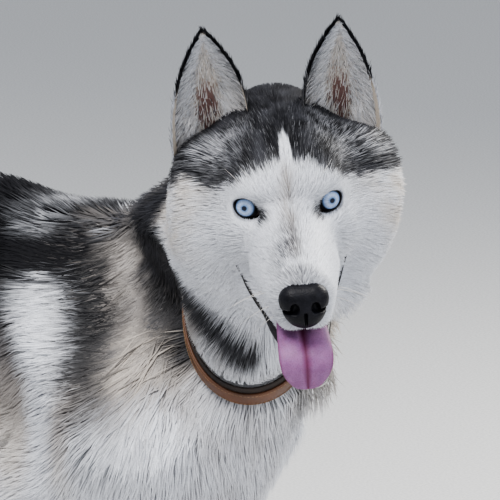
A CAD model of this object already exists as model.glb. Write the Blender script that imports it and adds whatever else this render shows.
"""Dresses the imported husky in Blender: skin, coat of mesh tufts, eyes, nose, tongue, claws and collar.

Shapes are worked out in the dog's own millimetres (X ahead, Y left, Z up, soles on Z = 0) from the same named
sizes as the solids, and are moved into the frame in metres when a mesh is made.
"""
import logging
import math
from dataclasses import dataclass, replace
from enum import Enum
from typing import Callable, Iterable, Iterator, Sequence

import bmesh
import bpy
import numpy as np
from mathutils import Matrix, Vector, kdtree


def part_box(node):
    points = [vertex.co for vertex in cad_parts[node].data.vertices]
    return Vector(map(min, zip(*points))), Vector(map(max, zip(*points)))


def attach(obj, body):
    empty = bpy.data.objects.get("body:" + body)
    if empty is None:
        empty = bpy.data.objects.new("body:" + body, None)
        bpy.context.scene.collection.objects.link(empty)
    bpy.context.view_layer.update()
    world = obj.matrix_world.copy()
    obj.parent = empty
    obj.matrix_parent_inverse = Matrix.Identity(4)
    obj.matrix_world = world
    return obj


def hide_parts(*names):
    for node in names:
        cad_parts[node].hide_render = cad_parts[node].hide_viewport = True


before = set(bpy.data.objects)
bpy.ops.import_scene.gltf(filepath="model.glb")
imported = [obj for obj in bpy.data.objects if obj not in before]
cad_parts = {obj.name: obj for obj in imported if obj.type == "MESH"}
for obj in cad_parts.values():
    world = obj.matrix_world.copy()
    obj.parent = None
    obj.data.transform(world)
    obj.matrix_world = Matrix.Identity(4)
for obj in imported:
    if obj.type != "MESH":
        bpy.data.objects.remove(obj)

log = logging.getLogger("husky")

Array = np.ndarray
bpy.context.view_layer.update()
SHIFT = np.array([92.893, 0.714, 0.0])  # from the dog's millimetres to the frame's
SEED = 20


def vec(x: float, y: float, z: float) -> Array:
    """A point or direction.

    Args:
        x: Ahead.
        y: To the left.
        z: Up.

    Returns:
        The three numbers as an array.
    """
    return np.array([x, y, z], dtype=np.float64)


def unit(v: Array) -> Array:
    """Scales vectors to length 1.

    Args:
        v: One vector, or one to a row.

    Returns:
        The same directions with length 1.
    """
    return v / np.maximum(np.linalg.norm(v, axis=-1, keepdims=True), 1e-9)


def smooth(x: Array, low: float, high: float) -> Array:
    """A smooth step.

    Args:
        x: Values.
        low: Where the step leaves 0.
        high: Where it reaches 1.

    Returns:
        0 to 1 for each value.
    """
    t = np.clip((x - low) / (high - low), 0.0, 1.0)
    return t * t * (3.0 - 2.0 * t)


def mix(a: Array, b: Array, t: Array) -> Array:
    """Blends two values or colours.

    Args:
        a: Where t is 0.
        b: Where t is 1.
        t: The share of b.

    Returns:
        The blend, with t spread over the last axis where a or b is a vector.
    """
    a = np.asarray(a, dtype=np.float64)
    b = np.asarray(b, dtype=np.float64)
    if max(a.ndim, b.ndim) and max(a.shape[-1:] + b.shape[-1:]) == 3:
        t = np.asarray(t)[..., None]
    return a + (b - a) * t


def signed_power(v: Array, power: float) -> Array:
    """Raises the size of values to a power and keeps their sign."""
    return np.sign(v) * np.abs(v) ** power


def carved(values: Array, hole: Array, blend: float) -> Array:
    """Cuts a hole into a field with a soft edge.

    Args:
        values: The field, below zero inside the body.
        hole: The hole's field, above zero inside the hole.
        blend: How wide the soft edge is.

    Returns:
        The field with the hole.
    """
    h = np.clip(0.5 + 0.5 * (hole - values) / blend, 0, 1)
    return values + (hole - values) * h + blend * h * (1 - h)


def cell_corners(f: Array) -> Iterator[tuple[int, int, int, Array]]:
    """The corners of a cell with the share that each has in a place.

    Args:
        f: Places in their cells, 0 to 1 on each axis.

    Yields:
        A corner's three steps and the places' shares of it.
    """
    for a in (0, 1):
        for b in (0, 1):
            for c in (0, 1):
                yield a, b, c, (f[:, 0] if a else 1 - f[:, 0]) * (f[:, 1] if b else 1 - f[:, 1]) * \
                    (f[:, 2] if c else 1 - f[:, 2])


def ring_angles(count: int) -> Array:
    """Evenly spaced angles round a full turn, in radians."""
    return np.arange(count) / count * 2 * math.pi


def off_line(q: Array, line: Array) -> Array:
    """Distances from a line of straight pieces.

    Args:
        q: Places, one to a row.
        line: The line's points, one to a row.

    Returns:
        The distances.
    """
    best = np.full(len(q), 1e9)
    for a, b in zip(line[:-1], line[1:]):
        t = np.clip(((q - a) @ (b - a)) / ((b - a) @ (b - a)), 0, 1)
        best = np.minimum(best, np.linalg.norm(q - a - t[:, None] * (b - a), axis=1))
    return best


@dataclass(frozen=True)
class Sizes:
    """Driving sizes over the coat, in millimetres."""

    withers: float = 562.0
    brisket: float = 296.0
    rib_half_width: float = 96.0
    fore_track: float = 68.0
    hind_track: float = 72.0
    pupil_half: float = 32.0
    eye_radius: float = 12.0
    strap_wide: float = 22.0
    strap_thick: float = 4.0


SIZES = Sizes()
UP = vec(0, 0, 1)
ACROSS = vec(0, 1, 0)


def turn_matrix(yaw: float, pitch: float, roll: float) -> Array:
    """A rotation: roll about X, then pitch about Y, then yaw about Z.

    Args:
        yaw: Degrees about Z.
        pitch: Degrees about Y.
        roll: Degrees about X.

    Returns:
        A 3 by 3 matrix.
    """
    (cz, sz), (cy, sy), (cx, sx) = (
        (math.cos(math.radians(a)), math.sin(math.radians(a))) for a in (yaw, pitch, roll)
    )
    about_z = np.array([[cz, -sz, 0], [sz, cz, 0], [0, 0, 1]])
    about_y = np.array([[cy, 0, sy], [0, 1, 0], [-sy, 0, cy]])
    about_x = np.array([[1, 0, 0], [0, cx, -sx], [0, sx, cx]])
    return about_z @ about_y @ about_x


HEAD_PLACE = vec(258, -54, 606)
HEAD_TURN = turn_matrix(-40.0, 6.7, 4.3)


def on_head(p: Array) -> Array:
    """From the head's frame to the dog's.

    Args:
        p: Points in the head's frame.

    Returns:
        The points in the dog's frame.
    """
    return np.asarray(p, dtype=np.float64) @ HEAD_TURN.T + HEAD_PLACE


def to_head(p: Array) -> Array:
    """From the dog's frame to the head's.

    Args:
        p: Points in the dog's frame.

    Returns:
        The points in the head's frame.
    """
    return (np.asarray(p, dtype=np.float64) - HEAD_PLACE) @ HEAD_TURN


def head_axis(v: Array) -> Array:
    """A direction of the head's frame, seen in the dog's.

    Args:
        v: A direction in the head's frame.

    Returns:
        The direction in the dog's frame.
    """
    return np.asarray(v, dtype=np.float64) @ HEAD_TURN.T


@dataclass(frozen=True)
class Limb:
    """One tapered oval of the implicit body.

    Attributes:
        a: Start.
        axis: Direction from its start to its end.
        side: The way its width lies.
        deep: The way its depth lies.
        length: From start to end, 0 for an ovoid.
        end_a: Half width and half depth at the start.
        end_b: Half width and half depth at the end.
        blend: How far it melts into what is there.
        long: Half length of an ovoid.
    """

    a: Array
    axis: Array
    side: Array
    deep: Array
    length: float
    end_a: tuple[float, float]
    end_b: tuple[float, float]
    blend: float
    long: float | None = None

    @staticmethod
    def make(a: Array, b: Array, end_a: Sequence[float], end_b: Sequence[float], blend: float,
             across: Array = ACROSS) -> "Limb":
        """A limb from a to b.

        Args:
            a: Start.
            b: End.
            end_a: Half width and half depth at a.
            end_b: Half width and half depth at b.
            blend: How far it melts into what is there.
            across: The way its width lies.

        Returns:
            The limb.
        """
        along = b - a
        length = float(np.linalg.norm(along))
        axis = along / length
        side = unit(across - axis * (across @ axis))
        return Limb(a, axis, side, np.cross(side, axis), length, tuple(end_a), tuple(end_b), blend)

    @staticmethod
    def ovoid(centre: Array, size: Sequence[float], blend: float, axis: Array = vec(1, 0, 0),
              across: Array = ACROSS) -> "Limb":
        """An ovoid.

        Args:
            centre: Its middle.
            size: Half length, half width and half height.
            blend: How far it melts into what is there.
            axis: The way its length lies.
            across: The way its width lies.

        Returns:
            The ovoid as a limb of no length.
        """
        side = unit(across - axis * (across @ axis))
        ends = (size[1], size[2])
        return Limb(centre, axis, side, np.cross(side, axis), 0.0, ends, ends, blend, size[0])

    def in_head(self) -> "Limb":
        """The same limb in the head's frame.

        Returns:
            A moved copy.
        """
        back = HEAD_TURN
        return replace(self, a=to_head(self.a), axis=self.axis @ back, side=self.side @ back,
                       deep=self.deep @ back)

    def reach(self) -> tuple[Array, Array]:
        """The limb's box.

        Returns:
            Its lowest and highest corner.
        """
        far = max(*self.end_a, *self.end_b, self.long or 0.0)
        end = self.a + self.axis * self.length
        return np.minimum(self.a, end) - far, np.maximum(self.a, end) + far

    def distance(self, x: Array, y: Array, z: Array) -> Array:
        """About the distance to the limb's surface, below zero inside.

        Args:
            x: Places ahead.
            y: Places to the left.
            z: Places up.

        Returns:
            The distances.
        """
        dx, dy, dz = x - self.a[0], y - self.a[1], z - self.a[2]
        along = dx * self.axis[0] + dy * self.axis[1] + dz * self.axis[2]
        t = np.clip(along / self.length, 0, 1) if self.length > 0 else np.zeros_like(along)
        wide = self.end_a[0] + (self.end_b[0] - self.end_a[0]) * t
        high = self.end_a[1] + (self.end_b[1] - self.end_a[1]) * t
        long = self.long if self.long is not None else np.minimum(wide, high)
        u = (dx * self.side[0] + dy * self.side[1] + dz * self.side[2]) / wide
        v = (dx * self.deep[0] + dy * self.deep[1] + dz * self.deep[2]) / high
        n = (along - t * self.length) / long
        near = np.sqrt(u * u + v * v + n * n)
        slope = np.sqrt((u / wide) ** 2 + (v / high) ** 2 + (n / long) ** 2)
        return near * (near - 1) / np.maximum(slope, 1e-6)


def trunk_limbs() -> list[Limb]:
    """Ribcage, loin, rump, withers, prosternum, shoulders and upper arms.

    Returns:
        The limbs, in the order in which they are blended.
    """
    sizes = SIZES
    limbs = [
        Limb.make(vec(50, 0, 425), vec(-150, 0, 430), (74, 112), (sizes.rib_half_width, 430 - sizes.brisket), 1),
        Limb.make(vec(-150, 0, 438), vec(-330, 0, 455), (90, 112), (72, 82), 30),
        Limb.make(vec(-300, 0, 456), vec(-352, 0, 450), (74, 80), (66, 70), 30),
        Limb.make(vec(20, 0, sizes.withers - 52), vec(-110, 0, sizes.withers - 56), (36, 44), (42, 40), 40),
        Limb.ovoid(vec(92, 0, 405), (56, 58, 82), 40),
    ]
    for s in (1, -1):
        limbs += [
            Limb.make(vec(-25, s * 48, 500), vec(92, s * 60, 405), (34, 50), (38, 46), 34),
            Limb.make(vec(92, s * 60, 402), vec(-8, s * 74, 330), (38, 46), (34, 42), 30),
        ]
    return limbs


@dataclass(frozen=True)
class CollarLine:
    """The strap's inner line round the neck. Angles are from the throat, in radians.

    Attributes:
        middle: Its middle.
        axis: The neck's axis there, upwards.
        half_across: Half its width across the neck.
        half_front: Its reach to the throat.
        half_back: Its reach to the nape.
        nape_lift: How much higher it lies at the nape.
        visible: The angle beyond which the coat is not pressed in by it.
        shown_at: The middle of the part that shows.
        shown_half: Half of the part that shows.
        shown_fade: Where it fades out and in again, as angles from that middle below zero.
    """

    middle: Array
    axis: Array
    half_across: float = 46.0
    half_front: float = 64.0
    half_back: float = 92.0
    nape_lift: float = 36.0
    visible: float = 1.85
    shown_at: float = -0.5
    shown_half: float = 1.35
    shown_fade: tuple[float, float] = (-1.45, -1.2)

    @property
    def side(self) -> Array:
        """Across the neck, to the dog's left."""
        return unit(np.cross(UP, self.axis))

    @property
    def front(self) -> Array:
        """From the neck's middle to the throat."""
        return np.cross(self.side, self.axis)

    def shape(self, angle: Array) -> tuple[Array, Array]:
        """The strap's reach from the middle and its rise, at an angle from the throat.

        Args:
            angle: Radians round the neck.

        Returns:
            The reach and the rise.
        """
        c = np.cos(angle)
        rear = np.where(c < 0, c * c, 0.0)
        deep = self.half_front + (self.half_back - self.half_front) * rear
        wide = self.half_across + 2 * (1 - c) ** 2
        return 1 / np.hypot(c / deep, np.sin(angle) / wide), self.nape_lift * rear

    def angle(self, p: Array) -> Array:
        """The angle from the throat at places in the dog's frame."""
        d = p - self.middle
        return np.arctan2(d @ self.side, d @ self.front)

    def shows(self, angle: Array) -> Array:
        """Tells where the strap shows, at angles from the throat."""
        return np.abs(angle - self.shown_at) < self.shown_half

    def point(self, angle: Array) -> Array:
        """Points of the inner line.

        Args:
            angle: Radians round the neck.

        Returns:
            One point to a row.
        """
        angle = np.atleast_1d(angle)
        reach, rise = self.shape(angle)
        return (self.middle + (reach * np.cos(angle))[:, None] * self.front
                + (reach * np.sin(angle))[:, None] * self.side + rise[:, None] * self.axis)

    def hollow(self, x: Array, y: Array, z: Array) -> Array:
        """How the coat is pressed in under the strap.

        Args:
            x: Places ahead.
            y: Places to the left.
            z: Places up.

        Returns:
            A distance that is above zero where the coat has to stay clear of the strap.
        """
        dx, dy, dz = x - self.middle[0], y - self.middle[1], z - self.middle[2]
        u, v, w = (dx * d[0] + dy * d[1] + dz * d[2] for d in (self.front, self.side, self.axis))
        angle = np.arctan2(v, u)
        reach, rise = self.shape(angle)
        along = w - rise
        above = np.maximum(0, along - SIZES.strap_wide / 2)
        below = np.maximum(0, -along - SIZES.strap_wide / 2)
        slack = 0.15 * above + 0.85 * np.maximum(0, above - 45) + 2.2 * below + 900 * smooth(below, 12, 50)
        cover = 90 * smooth(np.abs(angle), self.visible, self.visible + 0.6)
        return 0.9 * (np.hypot(u, v) - reach - slack - cover + 0.5)

    def past(self, p: Array) -> tuple[Array, Array, Array]:
        """Where places stand about the strap.

        Args:
            p: Places in the dog's frame.

        Returns:
            Heights over its upper edge, angles from the throat and distances outside its inner line.
        """
        d = p - self.middle
        angle = self.angle(p)
        reach, rise = self.shape(angle)
        far = np.hypot(d @ self.side, d @ self.front) - reach
        return d @ self.axis - rise - SIZES.strap_wide / 2, angle, far

    def held_in(self, p: Array) -> Array:
        """Places of hair above the strap drawn in, so that it lies inside the strap where that shows.

        Args:
            p: Places in the dog's frame.

        Returns:
            The places, drawn towards the neck's middle where they stood out.
        """
        d = p - self.middle
        u, v, w = d @ self.front, d @ self.side, d @ self.axis
        angle = np.arctan2(v, u)
        reach, rise = self.shape(angle)
        above = w - rise - SIZES.strap_wide / 2
        lean = np.clip(0.06 + 0.34 * np.cos(angle), 0, 0.4)
        r = np.maximum(np.hypot(u, v), 1e-3)
        over = np.maximum(0, r - (reach - 1.0 + lean * np.maximum(above, 0)))
        shown = smooth(-np.abs(angle - self.shown_at), *self.shown_fade)
        shown = shown * smooth(above, -SIZES.strap_wide - 2, -SIZES.strap_wide + 2)
        keep = 1 - over * shown * smooth(-above, -72, -40) / r
        return self.middle + np.outer(w, self.axis) + np.outer(u * keep, self.front) + np.outer(v * keep, self.side)


COLLAR = CollarLine(middle=vec(151, 15, 491), axis=unit(vec(0.5, -0.54, 0.675)))


def neck_limbs() -> list[Limb]:
    """The neck, from the chest through the collar to the skull.

    Returns:
        The limbs.
    """
    top = on_head(vec(-74, 0, -34))
    return [
        Limb.make(vec(35, 0, 446), COLLAR.middle, (76, 104), (58, 74), 40),
        Limb.make(COLLAR.middle, top, (57, 72), (60, 64), 24, COLLAR.side),
        Limb.make(vec(38, 0, 492), top + vec(-12, 0, 8), (46, 54), (54, 62), 30),
        Limb.make(vec(142, 14, 454), vec(98, 0, 362), (46, 44), (52, 54), 30),
    ]


def head_limbs() -> list[Limb]:
    """Skull, brow, muzzle, flews, cheeks and ruff, in the dog's frame.

    Returns:
        The limbs.
    """
    side = head_axis(vec(0, 1, 0))
    ahead = head_axis(vec(1, 0, 0))

    def part(a: Sequence[float], b: Sequence[float], end_a: Sequence[float], end_b: Sequence[float],
             blend: float) -> Limb:
        """A limb between two places of the head's frame."""
        return Limb.make(on_head(vec(*a)), on_head(vec(*b)), end_a, end_b, blend, side)

    def lump(centre: Sequence[float], size: Sequence[float], blend: float) -> Limb:
        """An ovoid at a place of the head's frame."""
        return Limb.ovoid(on_head(vec(*centre)), size, blend, ahead, side)

    limbs = [
        part((-30, 0, 12), (-68, 0, 12), (48, 38), (54, 43), 16),
        part((-40, 0, 24), (-90, 0, 24), (36, 31), (40, 39), 14),
        lump((-14, 0, 12), (25, 35, 24), 16),
        part((16, 0, -27), (74, 0, -37), (30, 29), (21, 19), 16),
        part((-50, 0, -42), (-8, 0, -58), (56, 42), (32, 22), 18),
    ]
    for s in (1, -1):
        limbs += [
            lump((-6, s * 25, 13), (13, 13, 10), 10),
            lump((-64, s * 57, 4), (26, 23, 30), 22),
            part((26, s * 14, -42), (72, s * 9, -46), (17, 15), (14, 13), 12),
            part((-12, s * 34, -22), (-50, s * 52, -20), (19, 24), (28, 37), 16),
            part((-48, s * 54, -34), (-76, s * 52, -48), (27, 40), (29, 38), 18),
        ]
    return limbs + [lump((-42, 38, -72), (30, 16, 34), 16)]


def jaw_limbs() -> list[Limb]:
    """The lower jaw.

    Returns:
        The limbs.
    """
    side = head_axis(vec(0, 1, 0))
    ends = [((-14, 0, -66), (66, 0, -88), (30, 20), (14, 12), 12),
            ((-44, 0, -60), (-10, 0, -72), (48, 34), (32, 20), 14)]
    return [Limb.make(on_head(vec(*a)), on_head(vec(*b)), u, v, k, side) for a, b, u, v, k in ends]


class Flank(Enum):
    """The dog's two sides."""

    LEFT = 1
    RIGHT = -1


FORE_SHIFT = {Flank.LEFT: -14.0, Flank.RIGHT: 12.0}
HIND_SHIFT = {Flank.LEFT: -26.0, Flank.RIGHT: 14.0}
HIND_PAW_SCALE = 0.93
TOES = [(30.0, -21.0, 11.0), (42.0, -8.5, 10.5), (42.0, 8.5, 10.5), (30.0, 21.0, 11.0)]


def fore_limbs(flank: Flank) -> list[Limb]:
    """A foreleg from the elbow to the pastern.

    Args:
        flank: Which side.

    Returns:
        The limbs.
    """
    s, foot, track = flank.value, FORE_SHIFT[flank], SIZES.fore_track
    return [
        Limb.make(vec(-12, s * 75, 318), vec(foot - 2, s * track, 150), (28, 38), (21, 25), 24),
        Limb.make(vec(foot - 2, s * track, 150), vec(foot, s * track, 118), (21, 25), (22, 25), 12),
        Limb.make(vec(foot, s * track, 118), vec(foot + 12, s * track, 48), (21, 23), (24, 24), 12),
    ]


def hind_limbs(flank: Flank) -> list[Limb]:
    """A hind leg from the hip to the pastern.

    Args:
        flank: Which side.

    Returns:
        The limbs.
    """
    s, foot = flank.value, HIND_SHIFT[flank]
    stifle = vec(-282 + foot / 3, s * 78, 322)
    hock = vec(-420 + foot, s * 74, 168)
    return [
        Limb.make(vec(-335, s * 46, 448), stifle, (44, 80), (37, 54), 34),
        Limb.make(stifle, vec(-392 + foot, s * 75, 200), (35, 52), (23, 30), 20),
        Limb.make(vec(-392, s * 44, 425), vec(-372 + foot / 2, s * 66, 285), (32, 42), (26, 34), 26),
        Limb.make(vec(-392 + foot, s * 75, 200), hock, (22, 30), (20, 29), 14),
        Limb.make(hock, vec(-408 + foot, s * SIZES.hind_track, 56), (20, 27), (22, 23), 12),
    ]


def paw_heels() -> list[tuple[str, Array, float]]:
    """Where the four feet stand.

    Returns:
        Name, heel and scale of each foot.
    """
    fore = [(f"fore_{f.name.lower()}", vec(FORE_SHIFT[f] + 10, f.value * SIZES.fore_track, 0), 1.0) for f in Flank]
    hind = [(f"hind_{f.name.lower()}", vec(HIND_SHIFT[f] - 408, f.value * SIZES.hind_track, 0), HIND_PAW_SCALE)
            for f in Flank]
    return fore + hind


def paw_limbs(heel: Array, scale: float) -> list[Limb]:
    """A foot: its pad's mass and four toes.

    Args:
        heel: Below the pastern, on the floor.
        scale: The foot's size.

    Returns:
        The limbs.
    """
    limbs = [Limb.ovoid(heel + scale * vec(10, 0, 19), (34 * scale, 28 * scale, 25 * scale), 14)]
    for x, y, wide in TOES:
        knuckle, tip = heel + scale * vec(x - 8, y, 19), heel + scale * vec(x + 10, y * 1.06, 8)
        limbs.append(Limb.make(knuckle, tip, (wide * scale, 14 * scale), ((wide - 1.5) * scale, 10 * scale), 4))
    return limbs


TAIL_POINTS = np.array([(-398, 0, 500), (-440, 0, 548), (-468, 2, 612), (-456, 5, 676), (-402, 8, 712),
                        (-334, 10, 704), (-282, 11, 668)], dtype=np.float64)


def curve_through(points: Array, count: int) -> Array:
    """Evenly spaced points on a centripetal curve through given points.

    Args:
        points: The points that it passes.
        count: How many points to return.

    Returns:
        One point to a row.
    """
    ends = [2 * points[0] - points[1], 2 * points[-1] - points[-2]]
    p = np.vstack([ends[0], points, ends[1]])
    out = []
    for i in range(1, len(p) - 2):
        knots = [0.0]
        for a, b in ((i - 1, i), (i, i + 1), (i + 1, i + 2)):
            knots.append(knots[-1] + np.linalg.norm(p[b] - p[a]) ** 0.5)
        k0, k1, k2, k3 = knots
        t = np.linspace(k1, k2, 40, endpoint=i == len(p) - 3)[:, None]
        a1 = (k1 - t) / (k1 - k0) * p[i - 1] + (t - k0) / (k1 - k0) * p[i]
        a2 = (k2 - t) / (k2 - k1) * p[i] + (t - k1) / (k2 - k1) * p[i + 1]
        a3 = (k3 - t) / (k3 - k2) * p[i + 1] + (t - k2) / (k3 - k2) * p[i + 2]
        b1 = (k2 - t) / (k2 - k0) * a1 + (t - k0) / (k2 - k0) * a2
        b2 = (k3 - t) / (k3 - k1) * a2 + (t - k1) / (k3 - k1) * a3
        out.append((k2 - t) / (k2 - k1) * b1 + (t - k1) / (k2 - k1) * b2)
    fine = np.vstack(out)
    run = np.concatenate([[0], np.cumsum(np.linalg.norm(np.diff(fine, axis=0), axis=1))])
    want = np.linspace(0, run[-1], count)
    return np.stack([np.interp(want, run, fine[:, c]) for c in range(3)], axis=1)


def tail_limbs() -> list[Limb]:
    """The tail's core, over the croup in a sickle.

    Returns:
        The limbs.
    """
    steps = 12
    t = np.arange(steps + 1) / steps
    radius = 22 + 11 * np.sin(np.pi * np.minimum(1, t * 1.05)) - 11 * t**3
    p = curve_through(TAIL_POINTS, steps + 1)
    return [Limb.make(p[i], p[i + 1], (radius[i],) * 2, (radius[i + 1],) * 2, 14) for i in range(steps)]


class Grid:
    """A field sampled on a regular grid, read between its points."""

    def __init__(self, low: Array, high: Array, step: float) -> None:
        """Sets the grid out.

        Args:
            low: Lowest corner.
            high: Highest corner.
            step: Spacing.
        """
        self.low = np.asarray(low, dtype=np.float64)
        self.step = step
        self.count = tuple(int(n) for n in np.ceil((np.asarray(high) - self.low) / step).astype(int) + 1)
        self.axes = [self.low[i] + step * np.arange(self.count[i]) for i in range(3)]

    def slices(self, low: Array, high: Array) -> tuple[slice, ...]:
        """The part of the grid that covers a box.

        Args:
            low: Lowest corner of the box.
            high: Highest corner of the box.

        Returns:
            A slice to each axis.
        """
        first = np.clip(np.floor((low - self.low) / self.step).astype(int), 0, np.array(self.count))
        last = np.clip(np.ceil((high - self.low) / self.step).astype(int) + 1, 0, np.array(self.count))
        return tuple(slice(int(a), int(b)) for a, b in zip(first, last))

    def places(self, part: tuple[slice, ...] | None = None) -> tuple[Array, Array, Array]:
        """Coordinates of the grid's points, ready to broadcast.

        Args:
            part: The part wanted, or None for all.

        Returns:
            Three arrays.
        """
        x, y, z = (a[s] for a, s in zip(self.axes, part or (slice(None),) * 3))
        return x[:, None, None], y[None, :, None], z[None, None, :]

    def union(self, limbs: Iterable[Limb], margin: float = 45.0) -> Array:
        """The soft union of limbs on the grid.

        Args:
            limbs: The limbs, in order.
            margin: How far past each limb its distance is worked out.

        Returns:
            The field, capped at the margin.
        """
        field = np.full(self.count, margin, dtype=np.float32)
        for limb in limbs:
            low, high = limb.reach()
            part = self.slices(low - margin, high + margin)
            if min(s.stop - s.start for s in part) < 1:
                continue
            e = limb.distance(*self.places(part)).astype(np.float32)
            d = field[part]
            h = np.clip(0.5 + 0.5 * (d - e) / limb.blend, 0, 1)
            field[part] = d + (e - d) * h - limb.blend * h * (1 - h)
        return field

    def read(self, values: Array, p: Array) -> Array:
        """Values between the grid's points.

        Args:
            values: One value to each point of the grid, or a vector on a last axis.
            p: Places, one to a row.

        Returns:
            One value or vector to each place.
        """
        q = np.clip((p - self.low) / self.step, 0, np.array(self.count) - 1.001)
        i = q.astype(int)
        f = q - i
        total = 0.0
        for a, b, c, share in cell_corners(f):
            v = values[i[:, 0] + a, i[:, 1] + b, i[:, 2] + c]
            total = total + (v * share[:, None] if values.ndim == 4 else v * share)
        return total

    def skin(self, values: Array) -> tuple[Array, Array]:
        """A closed-up mesh of the surface where the field is zero, one vertex to each crossed cell.

        Args:
            values: The field.

        Returns:
            Vertices, and faces of four.
        """
        inside = values < 0
        corner = [(a, b, c) for a in (0, 1) for b in (0, 1) for c in (0, 1)]
        nx, ny, nz = self.count

        def cells(array: Array, o: tuple[int, int, int]) -> Array:
            """Each cell's value at one of its corners."""
            return array[o[0]:nx - 1 + o[0], o[1]:ny - 1 + o[1], o[2]:nz - 1 + o[2]]

        hits = sum(cells(inside, o).astype(np.int8) for o in corner)
        active = (hits > 0) & (hits < 8)
        index = np.full(active.shape, -1, dtype=np.int64)
        index[active] = np.arange(int(active.sum()))
        where = np.argwhere(active)
        total = np.zeros((len(where), 3))
        crossings = np.zeros(len(where))
        at = {o: values[where[:, 0] + o[0], where[:, 1] + o[1], where[:, 2] + o[2]] for o in corner}
        for o in corner:
            for c in range(3):
                if o[c]:
                    continue
                q = tuple(1 if i == c else o[i] for i in range(3))
                a, b = at[o], at[q]
                cut = (a < 0) != (b < 0)
                t = np.where(cut, a / np.where(cut, a - b, 1), 0)
                spot = np.tile(np.array(o, dtype=float), (len(where), 1))
                spot[:, c] += t
                total[cut] += spot[cut]
                crossings[cut] += 1
        points = (where + total / crossings[:, None]) * self.step + self.low
        faces = []
        for c in range(3):
            u, w = (c + 1) % 3, (c + 2) % 3
            low = [slice(None)] * 3
            high = [slice(None)] * 3
            low[c], high[c] = slice(0, -1), slice(1, None)
            a, b = inside[tuple(low)], inside[tuple(high)]
            edge = np.argwhere(a != b)
            ok = (edge[:, u] > 0) & (edge[:, w] > 0) & (edge[:, u] < self.count[u] - 1) & \
                (edge[:, w] < self.count[w] - 1)
            edge = edge[ok]
            first = a[tuple(edge.T)]
            quad = []
            for m, n in ((0, 0), (1, 0), (1, 1), (0, 1)):
                cell = edge.copy()
                cell[:, u] -= m
                cell[:, w] -= n
                quad.append(index[tuple(cell.T)])
            q = np.stack(quad, axis=1)
            q[~first] = q[~first][:, ::-1]
            faces.append(q)
        return points, np.vstack(faces)


class Region(Enum):
    """The parts of the body whose coat differs."""

    TRUNK = 0
    NECK = 1
    HEAD = 2
    FORE = 3
    HIND = 4
    PAW = 5
    TAIL = 6


def share_of(shares: Array, *regions: Region) -> Array:
    """How far places belong to some regions together.

    Args:
        shares: A row of shares to each place, in the order of Region.
        *regions: The regions.

    Returns:
        One number to each place.
    """
    return sum(shares[:, r.value] for r in regions)


@dataclass(frozen=True)
class CoatSize:
    """How the coat grows in a region, in millimetres.

    Attributes:
        depth: From the coat's outside down to the skin.
        stand: How far the ends stand out of the coat's outside.
        long: Length of a tuft.
        wide: Width of a tuft.
        clump: How strongly neighbours' ends draw together, 0 to 1.
    """

    depth: float
    stand: float
    long: float
    wide: float
    clump: float


COAT = {
    Region.TRUNK: CoatSize(depth=13, stand=2.0, long=38, wide=1.5, clump=0.36),
    Region.NECK: CoatSize(depth=15, stand=5.5, long=40, wide=1.3, clump=0.36),
    Region.HEAD: CoatSize(depth=2.0, stand=0.4, long=7.5, wide=0.7, clump=0.15),
    Region.FORE: CoatSize(depth=5, stand=0.6, long=15, wide=1.3, clump=0.25),
    Region.HIND: CoatSize(depth=10, stand=2.0, long=36, wide=2.2, clump=0.5),
    Region.PAW: CoatSize(depth=2.5, stand=0.5, long=9, wide=1.3, clump=0.2),
    Region.TAIL: CoatSize(depth=3, stand=20.0, long=74, wide=2.4, clump=0.6),
}


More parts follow.
